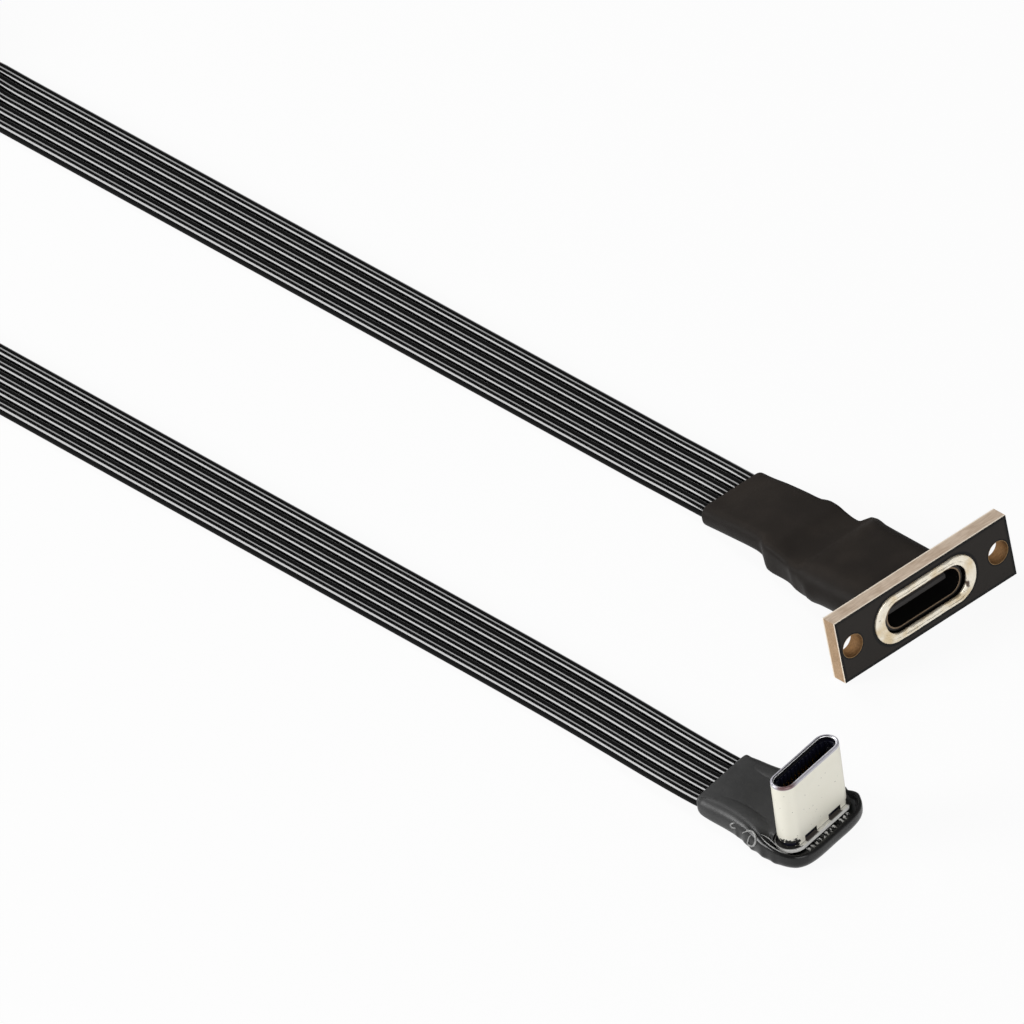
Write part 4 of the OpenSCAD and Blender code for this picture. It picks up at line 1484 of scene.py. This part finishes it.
@dataclass
class PanelEnd:
    """The receptacle on its plate: laminate, solder bead, shell and sleeve."""

    frame: dict[str, Any]
    panel: Place
    plate_w: float = 20.0
    plate_h: float = 6.4
    hole_pitch: float = 17.0
    hole_d: float = 2.2

    def build(self) -> None:
        """Finish the solids and build the bead and the sleeve."""
        put_on(["panel_plate"], self.frame, Laminate(
            self.panel, half_w=self.plate_w / 2, half_h=self.plate_h / 2, hole_y=self.hole_pitch / 2,
            hole_r=self.hole_d / 2, ring_half=(SolderRing.outer_w - SolderRing.outer_h) / 2,
            ring_r=SolderRing.outer_h / 2))
        put_on(["receptacle_shell", "receptacle_mid_plate", "receptacle_ground_pads"], self.frame,
               ShellSteel(self.panel))
        take_over(SolderRing(self.panel).build(), "solder_ring", Solder(self.panel))
        # the third tone is the darker one that the near side takes as painted shade
        shrink = Shrink("receptacle_shrink", ("#2b2724", "#332e2a"), "#1e1b19",
                        dull=0.72, shine=0.45, level=0.07)
        take_over(ShrunkSleeve(self.panel).build(), "receptacle_sleeve", shrink)


@dataclass
class PlugEnd:
    """The upright plug on its board, in its boat-shaped sleeve."""

    frame: dict[str, Any]
    plug: Place
    rim_z: float
    foot_top: float = 1.76
    patch_y: float = -2.95

    def build(self) -> list[bpy.types.Object]:
        """Finish the solids and build the sleeve and the strings of glue.

        Returns:
            Every piece at the plug's end.
        """
        put_on(["plug_shell"], self.frame, PlugSteel(self.plug, self.rim_z, self.foot_top, self.patch_y))
        put_on(["plug_contacts_front", "plug_contacts_rear"], self.frame,
               TinnedContact(self.plug, self.foot_top))
        # the third tone is the darker one of the near side's painted shade and of the front
        shrink = Shrink("plug_shrink", ("#383838", "#3f3f3f"), "#191919",
                        dull=0.46, shine=0.24, level=0.3)
        sleeve = take_over(BoatSleeve(self.plug).build(), "plug_sleeve", shrink)
        glue = GlueStrings(self.plug).build()
        # pale grey: a painted highlight along the strings of clear glue
        dried = Plain("dried_glue", ("#606060", "#b4b4b2"), rough=0.25, metal=0.0, per_mm=3)
        glue.data.materials.append(dried.material())
        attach(glue, BODY)
        nodes = [n for name, n in self.frame["nodes"].items() if name.startswith("plug_")]
        return [sleeve, glue] + [n for n in nodes if not n.hide_render]


SMALL_PARTS: tuple[tuple[list[str], Plain], ...] = (
    (["receptacle_housing"],
     Plain("tongue_plastic", ("#1b1917", "#2b2725"), rough=0.5, metal=0.0, per_mm=6)),
    (["receptacle_contacts_upper", "receptacle_contacts_lower"],
     Plain("contact_metal", GOLD, rough=0.2, metal=1.0, per_mm=8)),
    (["receptacle_pin_solder", "receptacle_wire_solder"],
     Plain("joint_solder", ("#b9b8b2", "#dcdbd6"), rough=0.28, metal=0.9, per_mm=8)),
    (["receptacle_board", "plug_board"],
     Plain("board_mask", ("#07090a", "#101412"), rough=0.3, metal=0.0, per_mm=5)),
    (["receptacle_wire_ends", "plug_wire_ends"],
     Plain("bared_wire", ("#c08a58", "#dcb487"), rough=0.3, metal=1.0, per_mm=9)),
    (["plug_housing"],
     Plain("plug_plastic", ("#0c0d1a", "#131528"), rough=0.4, metal=0.0, per_mm=5)),
    (["plug_latch", "plug_ground_springs"],
     Plain("spring_steel", ("#b9b7b2", "#dad9d6"), rough=0.22, metal=1.0, per_mm=7)),
    # the plug's solder: sharp patches of near-black painted shade and near-white painted highlight glints
    (["plug_pin_solder", "plug_wire_solder"],
     Plain("pin_solder", ("#0c0c0c", "#f2f1ee"), rough=0.3, metal=0.3, per_mm=2.6, spread=0.05)))


def dress_small_parts(frame: dict[str, Any]) -> None:
    """Finish the mouldings, contacts, springs, boards, solder and bared wires of both ends.
    """
    for names, finish in SMALL_PARTS:
        put_on(names, frame, finish)


def lay_cord(ribbon: Ribbon, ends: list[bpy.types.Object]) -> None:
    """Args:
        ribbon: The ribbon's sizes.
        ends: The pieces on its far end.
    """
    piece, path = ribbon.build()
    take_over(piece, "ribbon", Jacket())
    length = float(lengths(path)[-1])
    exit_x, exit_z = ribbon.inside[-1]
    leave = ribbon.panel.row_frame(np.array([exit_x, ribbon.board_side, exit_z])) * MM
    ribbon.wires * ribbon.wire_d * MM
    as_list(ends)
    log.info("the ribbon is %.1f mm long", length / MM)


def main() -> None:
    """Build every piece in order and report it."""
    logging.basicConfig(level=logging.INFO, format="%(name)s: %(message)s")
    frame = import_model()
    mounts = {m["name"]: m for m in frame["record"]["mounts"]}
    mouth, nose = mounts["receptacle_mouth"], mounts["plug_nose"]
    axis = np.array(mouth["axis"])
    panel = Place.along(tuple((np.array(mouth["pos_m"]) / MM + RIM_RECESS * axis).tolist()), mouth["axis"])
    plug_x, plug_y, rim_z = (c / MM for c in nose["pos_m"])
    foot = (plug_x, plug_y, 0)
    run, plug = Place.turned(foot, RUN_YAW), Place.turned(foot, RUN_YAW + PLUG_TURN)
    studio = Studio()
    studio.camera()
    ends = PlugEnd(frame, plug, rim_z).build()
    lay_cord(Ribbon(panel, run, plug), ends)
    PanelEnd(frame, panel).build()
    dress_small_parts(frame)
    studio.floor()
    studio.light()


if __name__ == "__main__":
    main()
